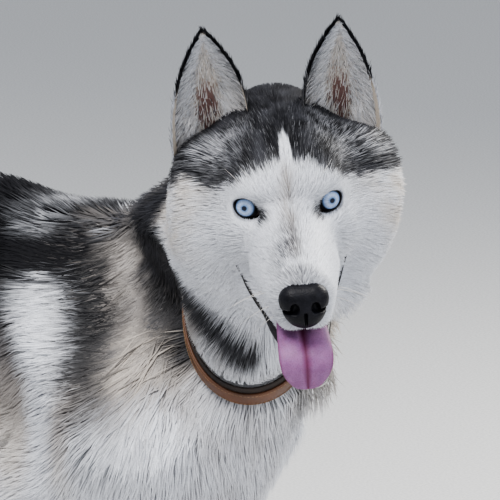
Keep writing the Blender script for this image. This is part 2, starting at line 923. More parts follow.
class Body:
    """The dog's implicit body on a grid, with the regions, the lie and the sizes of its coat."""

    step = 5.0
    strap_blend = 5.0

    def __init__(self) -> None:
        """Samples the fields."""
        self.grid = Grid(vec(-580, -150, -12), vec(300, 150, 800), self.step)
        legs = [x for f in Flank for x in fore_limbs(f)]
        hinds = [x for f in Flank for x in hind_limbs(f)]
        paws = [x for _, heel, scale in paw_heels() for x in paw_limbs(heel, scale)]
        groups = {
            Region.TRUNK: trunk_limbs(), Region.NECK: neck_limbs(), Region.HEAD: head_limbs() + jaw_limbs(),
            Region.FORE: legs, Region.PAW: paws, Region.HIND: hinds, Region.TAIL: tail_limbs(),
        }
        order = [x for limbs in groups.values() for x in limbs]
        whole = self.grid.union(order)
        self.field = carved(whole, COLLAR.hollow(*self.grid.places()).astype(np.float32), self.strap_blend)
        self.parts = np.stack([self.grid.union(groups[r]) for r in Region], axis=-1)
        self.tail_line = curve_through(TAIL_POINTS, 80)

    def shares(self, p: Array) -> Array:
        """How far each place belongs to each region.

        Args:
            p: Places in the dog's frame.

        Returns:
            A row of shares that add up to 1 for each place, in the order of Region.
        """
        d = self.grid.read(self.parts, p)
        d = d - d.min(axis=1, keepdims=True)
        soft = np.array([12, 9, 9, 10, 14, 5, 8], dtype=float)
        w = np.exp(-d / soft)
        return w / w.sum(axis=1, keepdims=True)

    def lie(self, p: Array, shares: Array | None = None) -> Array:
        """The way the coat lies.

        Args:
            p: Places in the dog's frame.
            shares: The places' shares of the regions, if known.

        Returns:
            A direction to each place, not yet laid along the skin.
        """
        shares = self.shares(p) if shares is None else shares
        x, y, z = p.T
        front = smooth(x, 40, 120)[:, None]
        side = smooth(np.abs(y), 25, 80)[:, None]
        trunk = vec(-1, 0, -0.12) * (1 - side) + vec(-0.85, 0, -0.5) * side
        trunk = trunk * (1 - front) + vec(-0.25, 0, -1) * front
        rise = ((p - COLLAR.middle) @ COLLAR.axis)
        below = smooth(-rise, -10, 70)[:, None]
        throat = smooth((p - COLLAR.middle) @ COLLAR.front, -10, 40)[:, None]
        back = vec(-0.6, 0.1, -0.75) * (1 - throat) + vec(-0.15, 0.1, -1) * throat
        neck = -COLLAR.axis * (1 - below) + back * below
        fore = np.tile(vec(-0.12, 0, -1), (len(p), 1))
        low = smooth(230 - z, 0, 60)[:, None]
        hind = vec(-0.6, 0, -0.85) * (1 - low) + vec(-0.05, 0, -1) * low
        paw = np.tile(vec(0.6, 0, -0.7), (len(p), 1))
        near = np.argmin(((p[:, None, :] - self.tail_line[None, ::4, :]) ** 2).sum(axis=2), axis=1) * 4
        run = unit(np.gradient(self.tail_line, axis=0))
        tail = run[np.minimum(near, len(run) - 1)]
        ways = {Region.TRUNK: trunk, Region.NECK: neck, Region.HEAD: head_axis(Face.lie(to_head(p))),
                Region.FORE: fore, Region.HIND: hind, Region.PAW: paw, Region.TAIL: tail}
        return unit(sum(shares[:, [r.value]] * unit(ways[r]) for r in Region))

    def coat(self, p: Array, shares: Array) -> dict[str, Array]:
        """The coat's sizes at places.

        Args:
            p: Places in the dog's frame.
            shares: The places' shares of the regions.

        Returns:
            Arrays of depth, stand, long, wide and clump.
        """
        out = {}
        for name in ("depth", "stand", "long", "wide", "clump"):
            row = np.array([getattr(COAT[r], name) for r in Region])
            out[name] = shares @ row
        x, _, z = p.T
        hind, fore = shares[:, Region.HIND.value], shares[:, Region.FORE.value]
        below = smooth(250 - z, 0, 50)
        out["depth"] = out["depth"] - hind * below * 6
        out["long"] = out["long"] - hind * below * 20
        breeches = hind * (1 - below) * smooth(-x, 330, 400)
        out["stand"] += 9 * breeches
        out["long"] += 16 * breeches
        feather = fore * smooth(-x, 8, 30) * smooth(z, 90, 140)
        out["stand"] += 6 * feather
        out["long"] += 16 * feather
        chest = shares[:, Region.TRUNK.value] * smooth(x, 70, 130)
        out["stand"] += 7 * chest
        out["long"] += 10 * chest
        h = to_head(p)
        ruff = shares[:, Region.HEAD.value] * Face.ruff(h)
        out["depth"] += 9 * ruff
        left, low = smooth(h[:, 1], -10, 45), smooth(-h[:, 2], 0, 60)
        out["stand"] += ruff * (mix(1.0, 14.0, left) + mix(2.0, 23.0, left) * low)
        out["long"] += 30 * ruff
        out["wide"] += 0.7 * ruff
        out["clump"] += 0.35 * ruff
        return out


class Face:
    """Forms and markings of the head, in its own frame: X to the nose, Y to its left, Z up."""

    eye_out = math.radians(20)
    slant = math.radians(25)
    lid_wide = 11.0
    lid_high = 8.2
    lid_in = 1.9
    socket = 24.0
    nose_middle = vec(89, 0, -46)
    upper_lip = [(10, -37.5), (50, -49), (74, -64), (86, -69), (112, -72)]
    lower_lip = [(10, -40.5), (50, -64), (84, -80), (112, -88)]

    lip_line = [(-3, -40, -44), (-7, -38, -51), (-5, -35.5, -57), (2, -32, -62.5), (8, -29, -68), (14, -25.5, -73.5),
                (32, -21.5, -78), (48, -18.5, -81.5), (64, -15, -84)]

    @classmethod
    def eye_middle(cls, s: int) -> Array:
        """The middle of an eyeball.

        Args:
            s: 1 for the left eye, -1 for the right.

        Returns:
            The point.
        """
        r = SIZES.eye_radius
        return vec(1 - r * math.cos(cls.eye_out), s * (SIZES.pupil_half - r * math.sin(cls.eye_out)), 0)

    @classmethod
    def eye_frame(cls, s: int) -> tuple[Array, Array, Array]:
        """The eye's axis, and the long and the short way of its opening.

        Args:
            s: 1 for the left eye, -1 for the right.

        Returns:
            Three directions.
        """
        axis = vec(math.cos(cls.eye_out), s * math.sin(cls.eye_out), 0)
        outward = vec(-axis[1], axis[0], 0) * s
        wide = outward * math.cos(cls.slant) + UP * math.sin(cls.slant)
        high = -outward * math.sin(cls.slant) + UP * math.cos(cls.slant)
        return axis, wide, high

    @classmethod
    def lid_level(cls, p: Array, s: int) -> Array:
        """How far outside the lids' opening a place is, in millimetres, below zero inside.

        Args:
            p: Places in the head's frame.
            s: 1 for the left eye, -1 for the right.

        Returns:
            About a distance in the plane across the eye's axis.
        """
        axis, wide, high = cls.eye_frame(s)
        d = p - cls.eye_middle(s)
        reach = d @ axis
        u, v = (d @ wide + cls.lid_in) / cls.lid_wide, d @ high / cls.lid_high
        v = signed_power(v, 0.88)
        spread = 1 + np.clip(reach - 12, 0, 20) * 0.02
        r = np.hypot(u, v) / spread
        return np.where(reach > 1, (r - 1) * (cls.lid_wide + cls.lid_high) / 2, 30.0)

    @classmethod
    def lids(cls, h: Array) -> Array:
        """How far outside the nearer opening of the lids places of the head's frame are."""
        return np.minimum(cls.lid_level(h, 1), cls.lid_level(h, -1))

    @classmethod
    def from_eyes(cls, h: Array) -> Array:
        """The distance from places of the head's frame to the nearer eye's middle."""
        return np.minimum(*(np.linalg.norm(h - cls.eye_middle(s), axis=1) for s in (1, -1)))

    @staticmethod
    def folded(h: Array) -> Array:
        """Places of the head's frame with its left side laid over its right one."""
        return h * np.array([1.0, 0.0, 1.0]) - np.abs(h) * np.array([0.0, 1.0, 0.0])

    @classmethod
    def mouth_level(cls, p: Array) -> Array:
        """The distance to the open mouth's wedge between the lips, below zero inside.

        Args:
            p: Places in the head's frame.

        Returns:
            The distances.
        """
        x, z = p[:, 0], p[:, 2]
        ux, uz = np.array(cls.upper_lip).T
        lx, lz = np.array(cls.lower_lip).T
        top = np.interp(x, ux, uz)
        low = np.interp(x, lx, lz)
        between = np.maximum(z - top, low - z) * 0.9
        corner = np.hypot(x - 10, z + 39)
        return np.where(x > 10, between, corner)

    @classmethod
    def lie(cls, h: Array) -> Array:
        """The way the coat lies on the head.

        Args:
            h: Places in the head's frame.

        Returns:
            A direction to each place.
        """
        x, y, z = h.T
        s = np.sign(y)
        cheek = smooth(np.abs(y), 20, 48) * smooth(-x, -12, 30)
        crown = smooth(z, 12, 40) * smooth(-x, -5, 30)
        under = smooth(-z, 45, 80)
        out = np.stack([-np.ones_like(x), s * (0.12 + 0.42 * cheek), 0.12 - 0.5 * cheek - 0.4 * under + 0.25 * crown],
                       axis=1)
        brow = smooth(x, -14, 4) * smooth(z, 2, 14) * (1 - crown)
        out[:, 2] += 0.7 * brow
        out[:, 0] += 0.3 * brow
        return unit(out)

    @staticmethod
    def ruff(h: Array) -> Array:
        """Where the cheeks' short coat grows into the ruff.

        Args:
            h: Places in the head's frame.

        Returns:
            0 to 1.
        """
        x, y, z = h.T
        back = smooth(-x, 22, 62)
        side = smooth(np.abs(y), 26, 52) * smooth(34 - z, 0, 22)
        below = smooth(-z, 58, 84) * smooth(-x, -20, 40)
        return np.clip(back * side + below, 0, 1)


class Noise:
    """Coherent noise on a seeded lattice."""

    size = 32

    def __init__(self, seed: int) -> None:
        """Draws the lattice.

        Args:
            seed: Which noise.
        """
        self.values = np.random.default_rng(seed).random((self.size,) * 3) * 2 - 1

    def at(self, p: Array, scale: float) -> Array:
        """The noise at places.

        Args:
            p: Places, one to a row.
            scale: Size of its lumps.

        Returns:
            -1 to 1 for each place.
        """
        q = p / scale
        i = np.floor(q).astype(int)
        f = q - i
        f = f * f * (3 - 2 * f)
        total = 0.0
        for a, b, c, share in cell_corners(f):
            total = total + share * self.values[(i[:, 0] + a) % self.size, (i[:, 1] + b) % self.size,
                                                (i[:, 2] + c) % self.size]
        return total


@dataclass(frozen=True)
class Tints:
    """The coat's colours, linear."""

    white: tuple[float, float, float] = (0.72, 0.735, 0.78)
    cream: tuple[float, float, float] = (0.60, 0.53, 0.45)
    agouti: tuple[float, float, float] = (0.33, 0.30, 0.28)
    grey: tuple[float, float, float] = (0.20, 0.20, 0.21)
    slate: tuple[float, float, float] = (0.052, 0.053, 0.062)
    dark: tuple[float, float, float] = (0.010, 0.010, 0.012)
    ear_skin: tuple[float, float, float] = (0.20, 0.115, 0.105)
    lip: tuple[float, float, float] = (0.012, 0.010, 0.011)
    mouth: tuple[float, float, float] = (0.05, 0.015, 0.018)


TINTS = Tints()


def plain(tint: Sequence[float], p: Array) -> Array:
    """One colour for all places.

    Args:
        tint: The colour.
        p: The places, or anything as long.

    Returns:
        The colour once for each.
    """
    return np.tile(np.array(tint), (len(p), 1))


class Pattern:
    """The markings: dark cap with a blaze, pale face, neck band, saddle, shoulder stripe and pale underside."""

    cap = [(-82, 4), (-74, 17), (-62, 11), (-51, 8), (-41, 17), (-32, 25), (-16, 31), (-8, 33), (-4, 35), (-3, 46),
           (0.5, 50), (4, 46), (5, 35), (9, 33), (19, 31), (33, 23), (44, 13), (56, 8), (68, 9), (82, 4)]
    cheek = [(-150, -30), (-133, -36), (-112, -43), (-96, -60), (-84, -71), (-75, -81), (-57, -102), (-49, -112),
             (-20, -100), (0, -86), (20, -62), (60, -50)]
    neck_band = [(-122, -100, -40), (-115, -98, -49), (-102, -94, -57), (-81, -86, -75), (-71, -80, -84),
                 (-60, -70, -96), (-43, -54, -112), (-36, -38, -130)]
    nape_band = [(-122, -98, -48), (-134, -92, -79), (-139, -84, -100), (-122, -76, -128)]
    stripe = [(340, 41), (366, 39), (396, 34), (427, 30), (453, 22), (475, 11), (505, -6)]
    front_band = [(380, 98), (405, 85), (430, 68), (454, 52), (476, 39), (506, 22), (545, -4)]

    def __init__(self, noise: Noise) -> None:
        """Keeps the noise that breaks the borders up.

        Args:
            noise: Coherent noise.
        """
        self.noise = noise

    def from_band(self, h: Array) -> Array:
        """The distance to the middle of the dark band behind either cheek.

        Args:
            h: Places in the head's frame.

        Returns:
            The distances.
        """
        return off_line(Face.folded(h), np.array(self.neck_band, dtype=np.float64))

    def head(self, h: Array, neck: Array, fine: Array) -> Array:
        """Colours of the head.

        Args:
            h: Places in the head's frame.
            neck: The neck's colours there.
            fine: Each hair's own difference.

        Returns:
            The colours.
        """
        x, y, z = h.T
        n = self.noise.at(h, 9) + 0.5 * self.noise.at(h, 4)
        t = TINTS
        edge = np.interp(y, *np.array(self.cap).T)
        above = z + 1.5 * n - edge + 0.10 * np.maximum(0, -x - 20)
        cap = smooth(smooth(above, -5.0, 5.5) + 0.55 * fine, 0.32, 0.68)
        cap = np.where(np.abs(y) < 7, smooth(above, -1.2, 1.2), cap)
        behind = np.interp(z, *np.array(self.cheek).T) - x
        back = smooth(behind + 4 * n + 3 * fine, -3, 6) * smooth(z, -60, -40)
        colour = plain(t.white, h)
        bridge = np.exp(-((y + 1 + 0.03 * x) / 5.5) ** 2) * smooth(x, 0, 14) * smooth(-x, -78, -60)
        colour = mix(colour, t.agouti, np.clip(bridge * (0.62 + 0.4 * n + 0.5 * fine), 0, 0.9))
        low = np.exp(-((((y + 7 + 0.15 * (x - 55)) / 11) ** 2 + ((x - 56) / 27) ** 2) ** 1.2))
        colour = mix(colour, t.slate, np.clip(low * (0.66 + 0.35 * n + 0.7 * fine), 0, 0.88))
        cheek = smooth(-x, 8, 42) * smooth(np.abs(y), 34, 58) * smooth(z, -62, -30)
        colour = mix(colour, t.cream, np.clip(cheek * (0.5 + 0.4 * n + 0.3 * fine), 0, 0.75))
        colour = mix(colour, t.slate, np.clip(cheek * smooth(fine, 0.72, 0.8) * 0.6, 0, 0.6))
        for s in (1, -1):
            off = (h - vec(13.5, 21.6 * s, -2.6)) / np.array([9.5, 7.0, 6.2])
            tear = np.exp(-((off**2).sum(axis=1)))
            colour = mix(colour, t.dark, np.clip(2.3 * tear * (0.8 + 0.6 * fine) - 0.3, 0, 0.97))
        outer = np.exp(-(((np.abs(y) - 54) / 9) ** 2 + ((z - 2) / 10) ** 2)) * smooth(x, -48, -22)
        colour = mix(colour, t.grey, np.clip(outer * (0.35 + 0.6 * fine), 0, 0.7))
        muzzle = smooth(x, 74, 84) * smooth(z, -44, -34) * np.exp(-(y / 16) ** 2)
        colour = mix(colour, t.slate, np.clip(muzzle * (0.55 + 0.5 * fine), 0, 0.85))
        fringe = smooth(np.abs(y), 12, 50) * smooth(x, -66, -50)
        top = mix(plain(t.dark, h), t.slate, np.clip(0.3 + 0.5 * n, 0, 1))
        top = mix(top, t.grey, np.clip(-0.16 + 0.34 * fringe + 0.45 * fine, 0, 0.7))
        top = mix(top, t.white, np.clip(fringe * smooth(above, 6, 22) * (0.08 + 0.3 * n + 0.5 * fine), 0, 0.6))
        colour = mix(colour, neck, smooth(behind + 3 * n + 3 * fine, 2, 12))
        band = mix(plain(t.dark, h), t.slate, np.clip(0.35 + 0.5 * n, 0, 1))
        share = smooth(-self.from_band(h) + 2.0 * n + 2.0 * fine, -17, -10)
        colour = mix(colour, band, np.clip(share + back, 0, 1))
        return mix(colour, top, cap)

    def neck(self, p: Array) -> Array:
        """Colours of the neck.

        Args:
            p: Places in the dog's frame.

        Returns:
            The colours.
        """
        t = TINTS
        n = self.noise.at(p, 14) + 0.6 * self.noise.at(p, 6)
        d = p - COLLAR.middle
        angle = np.abs(np.arctan2(d @ COLLAR.side, d @ COLLAR.front))
        rise = d @ COLLAR.axis
        throat = mix(plain(t.white, p), t.agouti, np.clip(0.25 + 0.2 * n, 0, 1))
        flank = mix(plain(t.agouti, p), t.cream, np.clip(0.35 + 0.4 * n, 0, 1))
        flank = mix(flank, t.slate, np.clip(0.25 + 0.5 * n, 0, 0.7))
        nape = mix(plain(t.dark, p), t.slate, np.clip(0.5 + 0.5 * n, 0, 1))
        colour = mix(throat, flank, smooth(angle + 0.12 * n, 0.45, 1.0) * mix(0.9, 0.75, smooth(rise, 0, 30)))
        apart = off_line(Face.folded(to_head(p)), np.array(self.nape_band, dtype=np.float64))
        band = mix(plain(t.dark, p), t.slate, np.clip(0.4 + 0.5 * n, 0, 1))
        colour = mix(colour, band, 0.95 * smooth(-apart + 5 * n, -40, -24))
        return mix(colour, nape, smooth(angle + 0.2 * n, 1.95, 2.5))

    def trunk(self, p: Array, fine: Array) -> Array:
        """Colours of the trunk and shoulders.

        Args:
            p: Places in the dog's frame.
            fine: Each hair's own difference.

        Returns:
            The colours.
        """
        t = TINTS
        x, y, z = p.T
        n = self.noise.at(p, 16) + 0.6 * self.noise.at(p, 7)
        v = z + 8 * n + 9 * fine
        rear = mix(plain(t.white, p), t.cream, 0.7 * smooth(v, 325, 385))
        rear = mix(rear, t.agouti, smooth(v, 370, 420))
        rear = mix(rear, t.slate, 0.75 * smooth(v, 420, 465))
        rear = mix(rear, t.dark, smooth(v, 455, 500))
        fore = mix(plain(t.white, p), t.agouti, 0.9 * smooth(v, 400, 442))
        fore = mix(fore, t.cream, np.clip(smooth(v, 430, 460) * (0.35 + 0.6 * n), 0, 0.6))
        fore = mix(fore, t.slate, np.clip(smooth(v, 440, 510) * (0.2 + 0.6 * fine), 0, 0.7))
        colour = mix(rear, fore, smooth(x + 6 * n, 52, 84))
        pale = np.exp(-(((x + 6) / 44) ** 2)) * smooth(z, 534, 548) * (0.34 + 0.5 * n + 0.5 * fine)
        colour = mix(colour, t.white, np.clip(pale, 0, 0.75))
        middle = np.interp(z, *np.array(self.stripe).T)
        stripe = np.exp(-(np.abs(x + 3 * n + 3 * fine - middle) / 20) ** 4)
        stripe = stripe * smooth(np.abs(y), 8, 22) * smooth(-v, -514, -494)
        colour = mix(colour, t.white, np.clip(0.95 * stripe, 0, 1))
        band = np.interp(z, *np.array(self.front_band).T)
        share = np.exp(-(np.abs(x + 4 * n + 6 * fine - band - 3) / 20) ** 4) * mix(0.25, 0.92, smooth(v, 385, 450))
        colour = mix(colour, t.dark, np.clip(share * smooth(z, 350, 400), 0, 1))
        return mix(colour, t.white, smooth(-v, -345, -318) * smooth(x, -260, -200))

    def legs(self, p: Array, hind: Array) -> Array:
        """Colours of the legs and feet.

        Args:
            p: Places in the dog's frame.
            hind: Share of the hind legs.

        Returns:
            The colours.
        """
        t = TINTS
        x, y, z = p.T
        n = self.noise.at(p, 13)
        white = plain(t.white, p)
        fore = mix(white, t.agouti, smooth(z + 10 * n, 262, 330) * 0.75)
        thigh = mix(white, t.cream, smooth(z + 10 * n, 215, 300) * 0.6)
        thigh = mix(thigh, t.agouti, smooth(z + 14 * n, 285, 365) * smooth(np.abs(y), 40, 62))
        thigh = mix(thigh, t.slate, 0.8 * smooth(z + 12 * n, 370, 440) * smooth(np.abs(y), 30, 55))
        thigh = mix(thigh, t.cream, 0.6 * smooth(-x, 395, 425) * smooth(z, 250, 300))
        return mix(fore, thigh, hind)

    def tail(self, p: Array, line: Array) -> Array:
        """Colours of the tail: dark on its upper side, which lies inside its curl, and at its end.

        Args:
            p: Places in the dog's frame.
            line: The tail's middle line.

        Returns:
            The colours.
        """
        t = TINTS
        n = self.noise.at(p, 12) + 0.5 * self.noise.at(p, 5)
        near = np.argmin(((p[:, None, :] - line[None, ::2, :]) ** 2).sum(axis=2), axis=1) * 2
        run = unit(np.gradient(line, axis=0))[near]
        inner = np.cross(vec(0, 1, 0), run)
        off = ((p - line[near]) * inner).sum(axis=1)
        white = plain(t.white, p)
        colour = mix(white, t.agouti, smooth(off + 6 * n, -14, 4) * 0.8)
        colour = mix(colour, t.slate, smooth(off + 6 * n, 0, 14))
        return mix(colour, t.dark, smooth(near / len(line) + 0.04 * n, 0.84, 0.95) * 0.8)

    def colours(self, p: Array, shares: Array, line: Array, fine: Array | None = None) -> Array:
        """The coat's colour anywhere.

        Args:
            p: Places in the dog's frame.
            shares: The places' shares of the regions.
            line: The tail's middle line.
            fine: Each hair's own difference, or none for the skin.

        Returns:
            Linear colours.
        """
        part = {r: shares[:, r.value] for r in Region}
        fine = self.noise.at(p, 1.6) if fine is None else fine
        neck = self.neck(p)
        trunk = self.trunk(p, fine)
        face = self.head(to_head(p), neck, fine)
        ahead = smooth(to_head(p)[:, 0], -150, -95)
        near = smooth(part[Region.HEAD] + 0.9 * ahead * (1 - part[Region.TRUNK]), 0.3, 0.6)
        torso = mix(trunk, neck, smooth((p - COLLAR.middle) @ COLLAR.axis, -18, -6))
        limb = part[Region.FORE] + part[Region.HIND] + part[Region.PAW]
        hind = smooth(-p[:, 0], 120, 180)
        legs = self.legs(p, hind)
        colour = mix(torso, face, near)
        colour = mix(colour, legs, smooth(limb, 0.35, 0.75))
        behind = part[Region.TAIL] > 0.3
        colour[behind] = mix(colour[behind], self.tail(p[behind], line), smooth(part[Region.TAIL][behind], 0.35, 0.65))
        return np.clip(colour, 0.004, 0.95)


class Form:
    """A field on its own grid, read in the dog's frame."""

    def __init__(self, grid: Grid, field: Array, turned: bool = False) -> None:
        """Keeps the field and works out its slope.

        Args:
            grid: The grid.
            field: The body's outside at zero.
            turned: True if the grid stands in the head's frame.
        """
        self.grid, self.field, self.turned = grid, field.astype(np.float32), turned
        self.slopes = np.stack(np.gradient(self.field, grid.step), axis=-1)

    def local(self, p: Array) -> Array:
        """Places in the grid's frame."""
        return to_head(p) if self.turned else p

    def value(self, p: Array) -> Array:
        """The field at places in the dog's frame."""
        return self.grid.read(self.field, self.local(p))

    def slope(self, p: Array) -> Array:
        """The field's slope at places in the dog's frame."""
        g = self.grid.read(self.slopes, self.local(p))
        return head_axis(g) if self.turned else g

    def drawn(self, p: Array, level: Array | float, most: float = 8.0) -> Array:
        """Points moved onto a level.

        Args:
            p: Points in the dog's frame.
            level: The level, for all or for each.
            most: The furthest that a point moves.

        Returns:
            The moved points.
        """
        g = self.slope(p)
        off = np.clip((level - self.value(p)) / np.maximum((g * g).sum(axis=1), 0.2), -most, most)
        return p + g * off[:, None]


@dataclass
class Skin:
    """A piece of skin: points in the dog's frame and faces of three or four."""

    points: Array
    faces: Array
    form: Form

    def triangles(self) -> Array:
        """Its faces cut into triangles."""
        f = self.faces
        return f if f.shape[1] == 3 else np.vstack([f[:, [0, 1, 2]], f[:, [0, 2, 3]]])


class Sculptor:
    """Makes the skins and the fine forms of head and feet from the body.

    Attributes:
        seam: Where the head's skin ends behind, in the head's frame.
        throat: Where it ends below, in the head's frame.
        ankle: The height at which the feet's skins end.
        sole: The lowest that a foot reaches before its coat's depth is taken off.
        fine_step: Spacing of the grids of head and feet.
        nose_step: Spacing of the nose's grid.
        batch: How many places are worked out at once.
    """

    seam = -96.0
    throat = -128.0
    ankle = 52.0
    sole = -1.5
    fine_step = 1.8
    nose_step = 0.7
    batch = 400000

    def __init__(self, body: Body) -> None:
        """Keeps the body.

        Args:
            body: The implicit dog.
        """
        self.body = body

    def depths(self, p: Array) -> Array:
        """The coat's depth at places in the dog's frame, none at the eyes and lips.

        Args:
            p: Places.

        Returns:
            The depths.
        """
        out = np.empty(len(p))
        for i in range(0, len(p), self.batch):
            part = p[i:i + self.batch]
            shares = self.body.shares(part)
            h = to_head(part)
            depth = self.body.coat(part, shares)["depth"]
            lips = np.abs(Face.mouth_level(h))
            keep = smooth(Face.from_eyes(h), 16, 26) * np.where(h[:, 0] > -10, smooth(lips, 2, 12), 1.0)
            out[i:i + self.batch] = np.maximum(depth * keep, 0.0)
        return out

    def cut_out(self, form: Form, keep: Callable[[Array], Array], near: float = 26.0) -> Skin:
        """The skin of one form.

        Args:
            form: The form.
            keep: Tells which points of the grid's frame belong to this skin.
            near: How far from the surface the depth is worked out.

        Returns:
            The skin.
        """
        grid = form.grid
        field = form.field.copy()
        close = np.abs(field) < near
        spots = np.argwhere(close) * grid.step + grid.low
        depth = self.depths(on_head(spots) if form.turned else spots)
        field[close] += depth.astype(np.float32)
        field[~close & (field < 0)] += 1.0
        points, faces = grid.skin(field)
        faces = faces[keep(points)[faces].all(axis=1)]
        used, index = np.unique(faces, return_inverse=True)
        points = points[used]
        return Skin(on_head(points) if form.turned else points, index.reshape(faces.shape), form)

    def body_skin(self) -> Skin:
        """The skin from the neck to the tail and down to the ankles."""
        form = Form(self.body.grid, self.body.field)

        def keep(p: Array) -> Array:
            """Tells which points lie behind the head's skin and above the feet's."""
            h = to_head(p)
            return ((h[:, 0] < self.seam + 4) | (h[:, 2] < self.throat + 4)) & (p[:, 2] > self.ankle - 7)

        return self.cut_out(form, keep)

    def head_skin(self) -> Skin:
        """The skin of the head with eye openings and mouth."""
        grid = Grid(vec(-150, -106, -136), vec(128, 106, 84), self.fine_step)
        limbs = [x.in_head() for x in neck_limbs() + head_limbs() + jaw_limbs()]
        for s in (1, -1):
            limbs.append(Limb.make(vec(56, 9.5 * s, -51), vec(77, 8.0 * s, -57), (13, 12), (12, 12.5), 6))
            r = SIZES.eye_radius + 1.9
            limbs.append(Limb.ovoid(Face.eye_middle(s), (r, r, r), 5))
        field = grid.union(limbs, 30.0)
        x, y, z = np.meshgrid(*grid.axes, indexing="ij")
        flat = np.stack([x.ravel(), y.ravel(), z.ravel()], axis=1)
        close = np.abs(field.ravel()) < 24
        spots = flat[close]
        values = field.ravel()[close].astype(np.float64)

        for s in (1, -1):
            values = carved(values, -Face.lid_level(spots, s), 0.8)
        values = carved(values, -Face.mouth_level(spots) + 0.3, 1.5)
        values = carved(values, COLLAR.hollow(*on_head(spots).T), Body.strap_blend)
        out = field.ravel().copy()
        out[close] = values
        form = Form(grid, out.reshape(field.shape), turned=True)
        return self.cut_out(form, lambda p: (p[:, 0] > self.seam) & (p[:, 2] > self.throat))

    def paw_skins(self) -> list[Skin]:
        """The skins of the four feet."""
        skins = []
        for name, heel, scale in paw_heels():
            flank = Flank.LEFT if "left" in name else Flank.RIGHT
            shin = (fore_limbs if "fore" in name else hind_limbs)(flank)[-1]
            grid = Grid(heel + vec(-48, -44, -6), heel + vec(72, 44, 74), self.fine_step)
            field = grid.union([shin] + paw_limbs(heel, scale), 20.0)
            floor = (self.sole - grid.axes[2]).astype(field.dtype)
            form = Form(grid, np.maximum(field, floor[None, None, :]))
            skins.append(self.cut_out(form, lambda p: p[:, 2] < self.ankle + 2, 16.0))
        return skins

    def nose_skin(self) -> Skin:
        """The nose leather with its nostrils."""
        m = vec(88, 0, -46)
        grid = Grid(vec(70, -24, -66), vec(108, 24, -28), self.nose_step)
        limbs = [Limb.make(m + vec(0, -7, 4), m + vec(0, 7, 4), (11, 11.5), (11, 11.5), 6, vec(1, 0, 0)),
                 Limb.ovoid(m + vec(1, 0, -5.5), (11, 14, 11.5), 6)]
        field = grid.union(limbs, 20.0).astype(np.float64)
        x, y, z = np.meshgrid(*grid.axes, indexing="ij")
        for s in (1, -1):
            for at, size in ((vec(98.5, 7.4 * s, -46), (6, 3.2, 4.2)), (vec(94, 13 * s, -49), (7, 4.5, 1.6))):
                r = np.sqrt(((x - at[0]) / size[0]) ** 2 + ((y - at[1]) / size[1]) ** 2 + ((z - at[2]) / size[2]) ** 2)
                field = carved(field, -(r - 1) * min(size), 1.4)
        cleft = 0.9 - np.hypot(y, np.minimum(0, x - 96) * 0.6)
        field = carved(field, np.where(z < -49, cleft, -9.0), 1.2)
        form = Form(grid, field, turned=True)
        points, faces = grid.skin(form.field)
        return Skin(on_head(points), faces, form)


@dataclass
class Roots:
    """Where tufts stand in the dog's frame, with the coat's sizes and lie there."""

    at: Array
    long: Array
    wide: Array
    depth: Array
    stand: Array
    clump: Array
    lie: Array

    def some(self, pick: Array) -> "Roots":
        """A copy with only the picked roots."""
        return Roots(*(getattr(self, f)[pick] for f in Roots.__dataclass_fields__))


@dataclass
class Tufts:
    """Tufts as arrays: rings of three points and a tip each."""

    rings: Array
    tips: Array
    roots: Array
    colour: Array
    shade: Array
    normals: Array

    def some(self, pick: Array) -> "Tufts":
        """A copy with only the picked tufts."""
        return Tufts(*(getattr(self, f)[pick] for f in Tufts.__dataclass_fields__))


def soft_normals(out: Array, side: Array, rings: int) -> Array:
    """Normals that shade tufts almost as the surface that they cover.

    Args:
        out: The surface's normal at each point of a tuft's line.
        side: The way across the tuft there.
        rings: Rings of points to a tuft.

    Returns:
        One normal to each point of each tuft.
    """
    around = np.stack([unit(out[:, :rings] + side[:, :rings] * k) for k in (-0.5, 0.0, 0.5)], axis=2)
    flat = around.reshape(len(out), rings * 3, 3)
    return np.concatenate([flat, out[:, rings:rings + 1]], axis=1)


def tuft_rings(line: Array, side: Array, up: Array, half: Array, ridge: float) -> Array:
    """Rings of three points along tufts: an edge, a ridge and the other edge.

    Args:
        line: The tufts' middle lines, without their tips.
        side: The way across each.
        up: The way each ridge stands.
        half: Half widths.
        ridge: The ridge's height as a share of the half width.

    Returns:
        The rings.
    """
    wide = half[..., None]
    return np.stack([line - side * wide, line + up * wide * ridge, line + side * wide], axis=2)


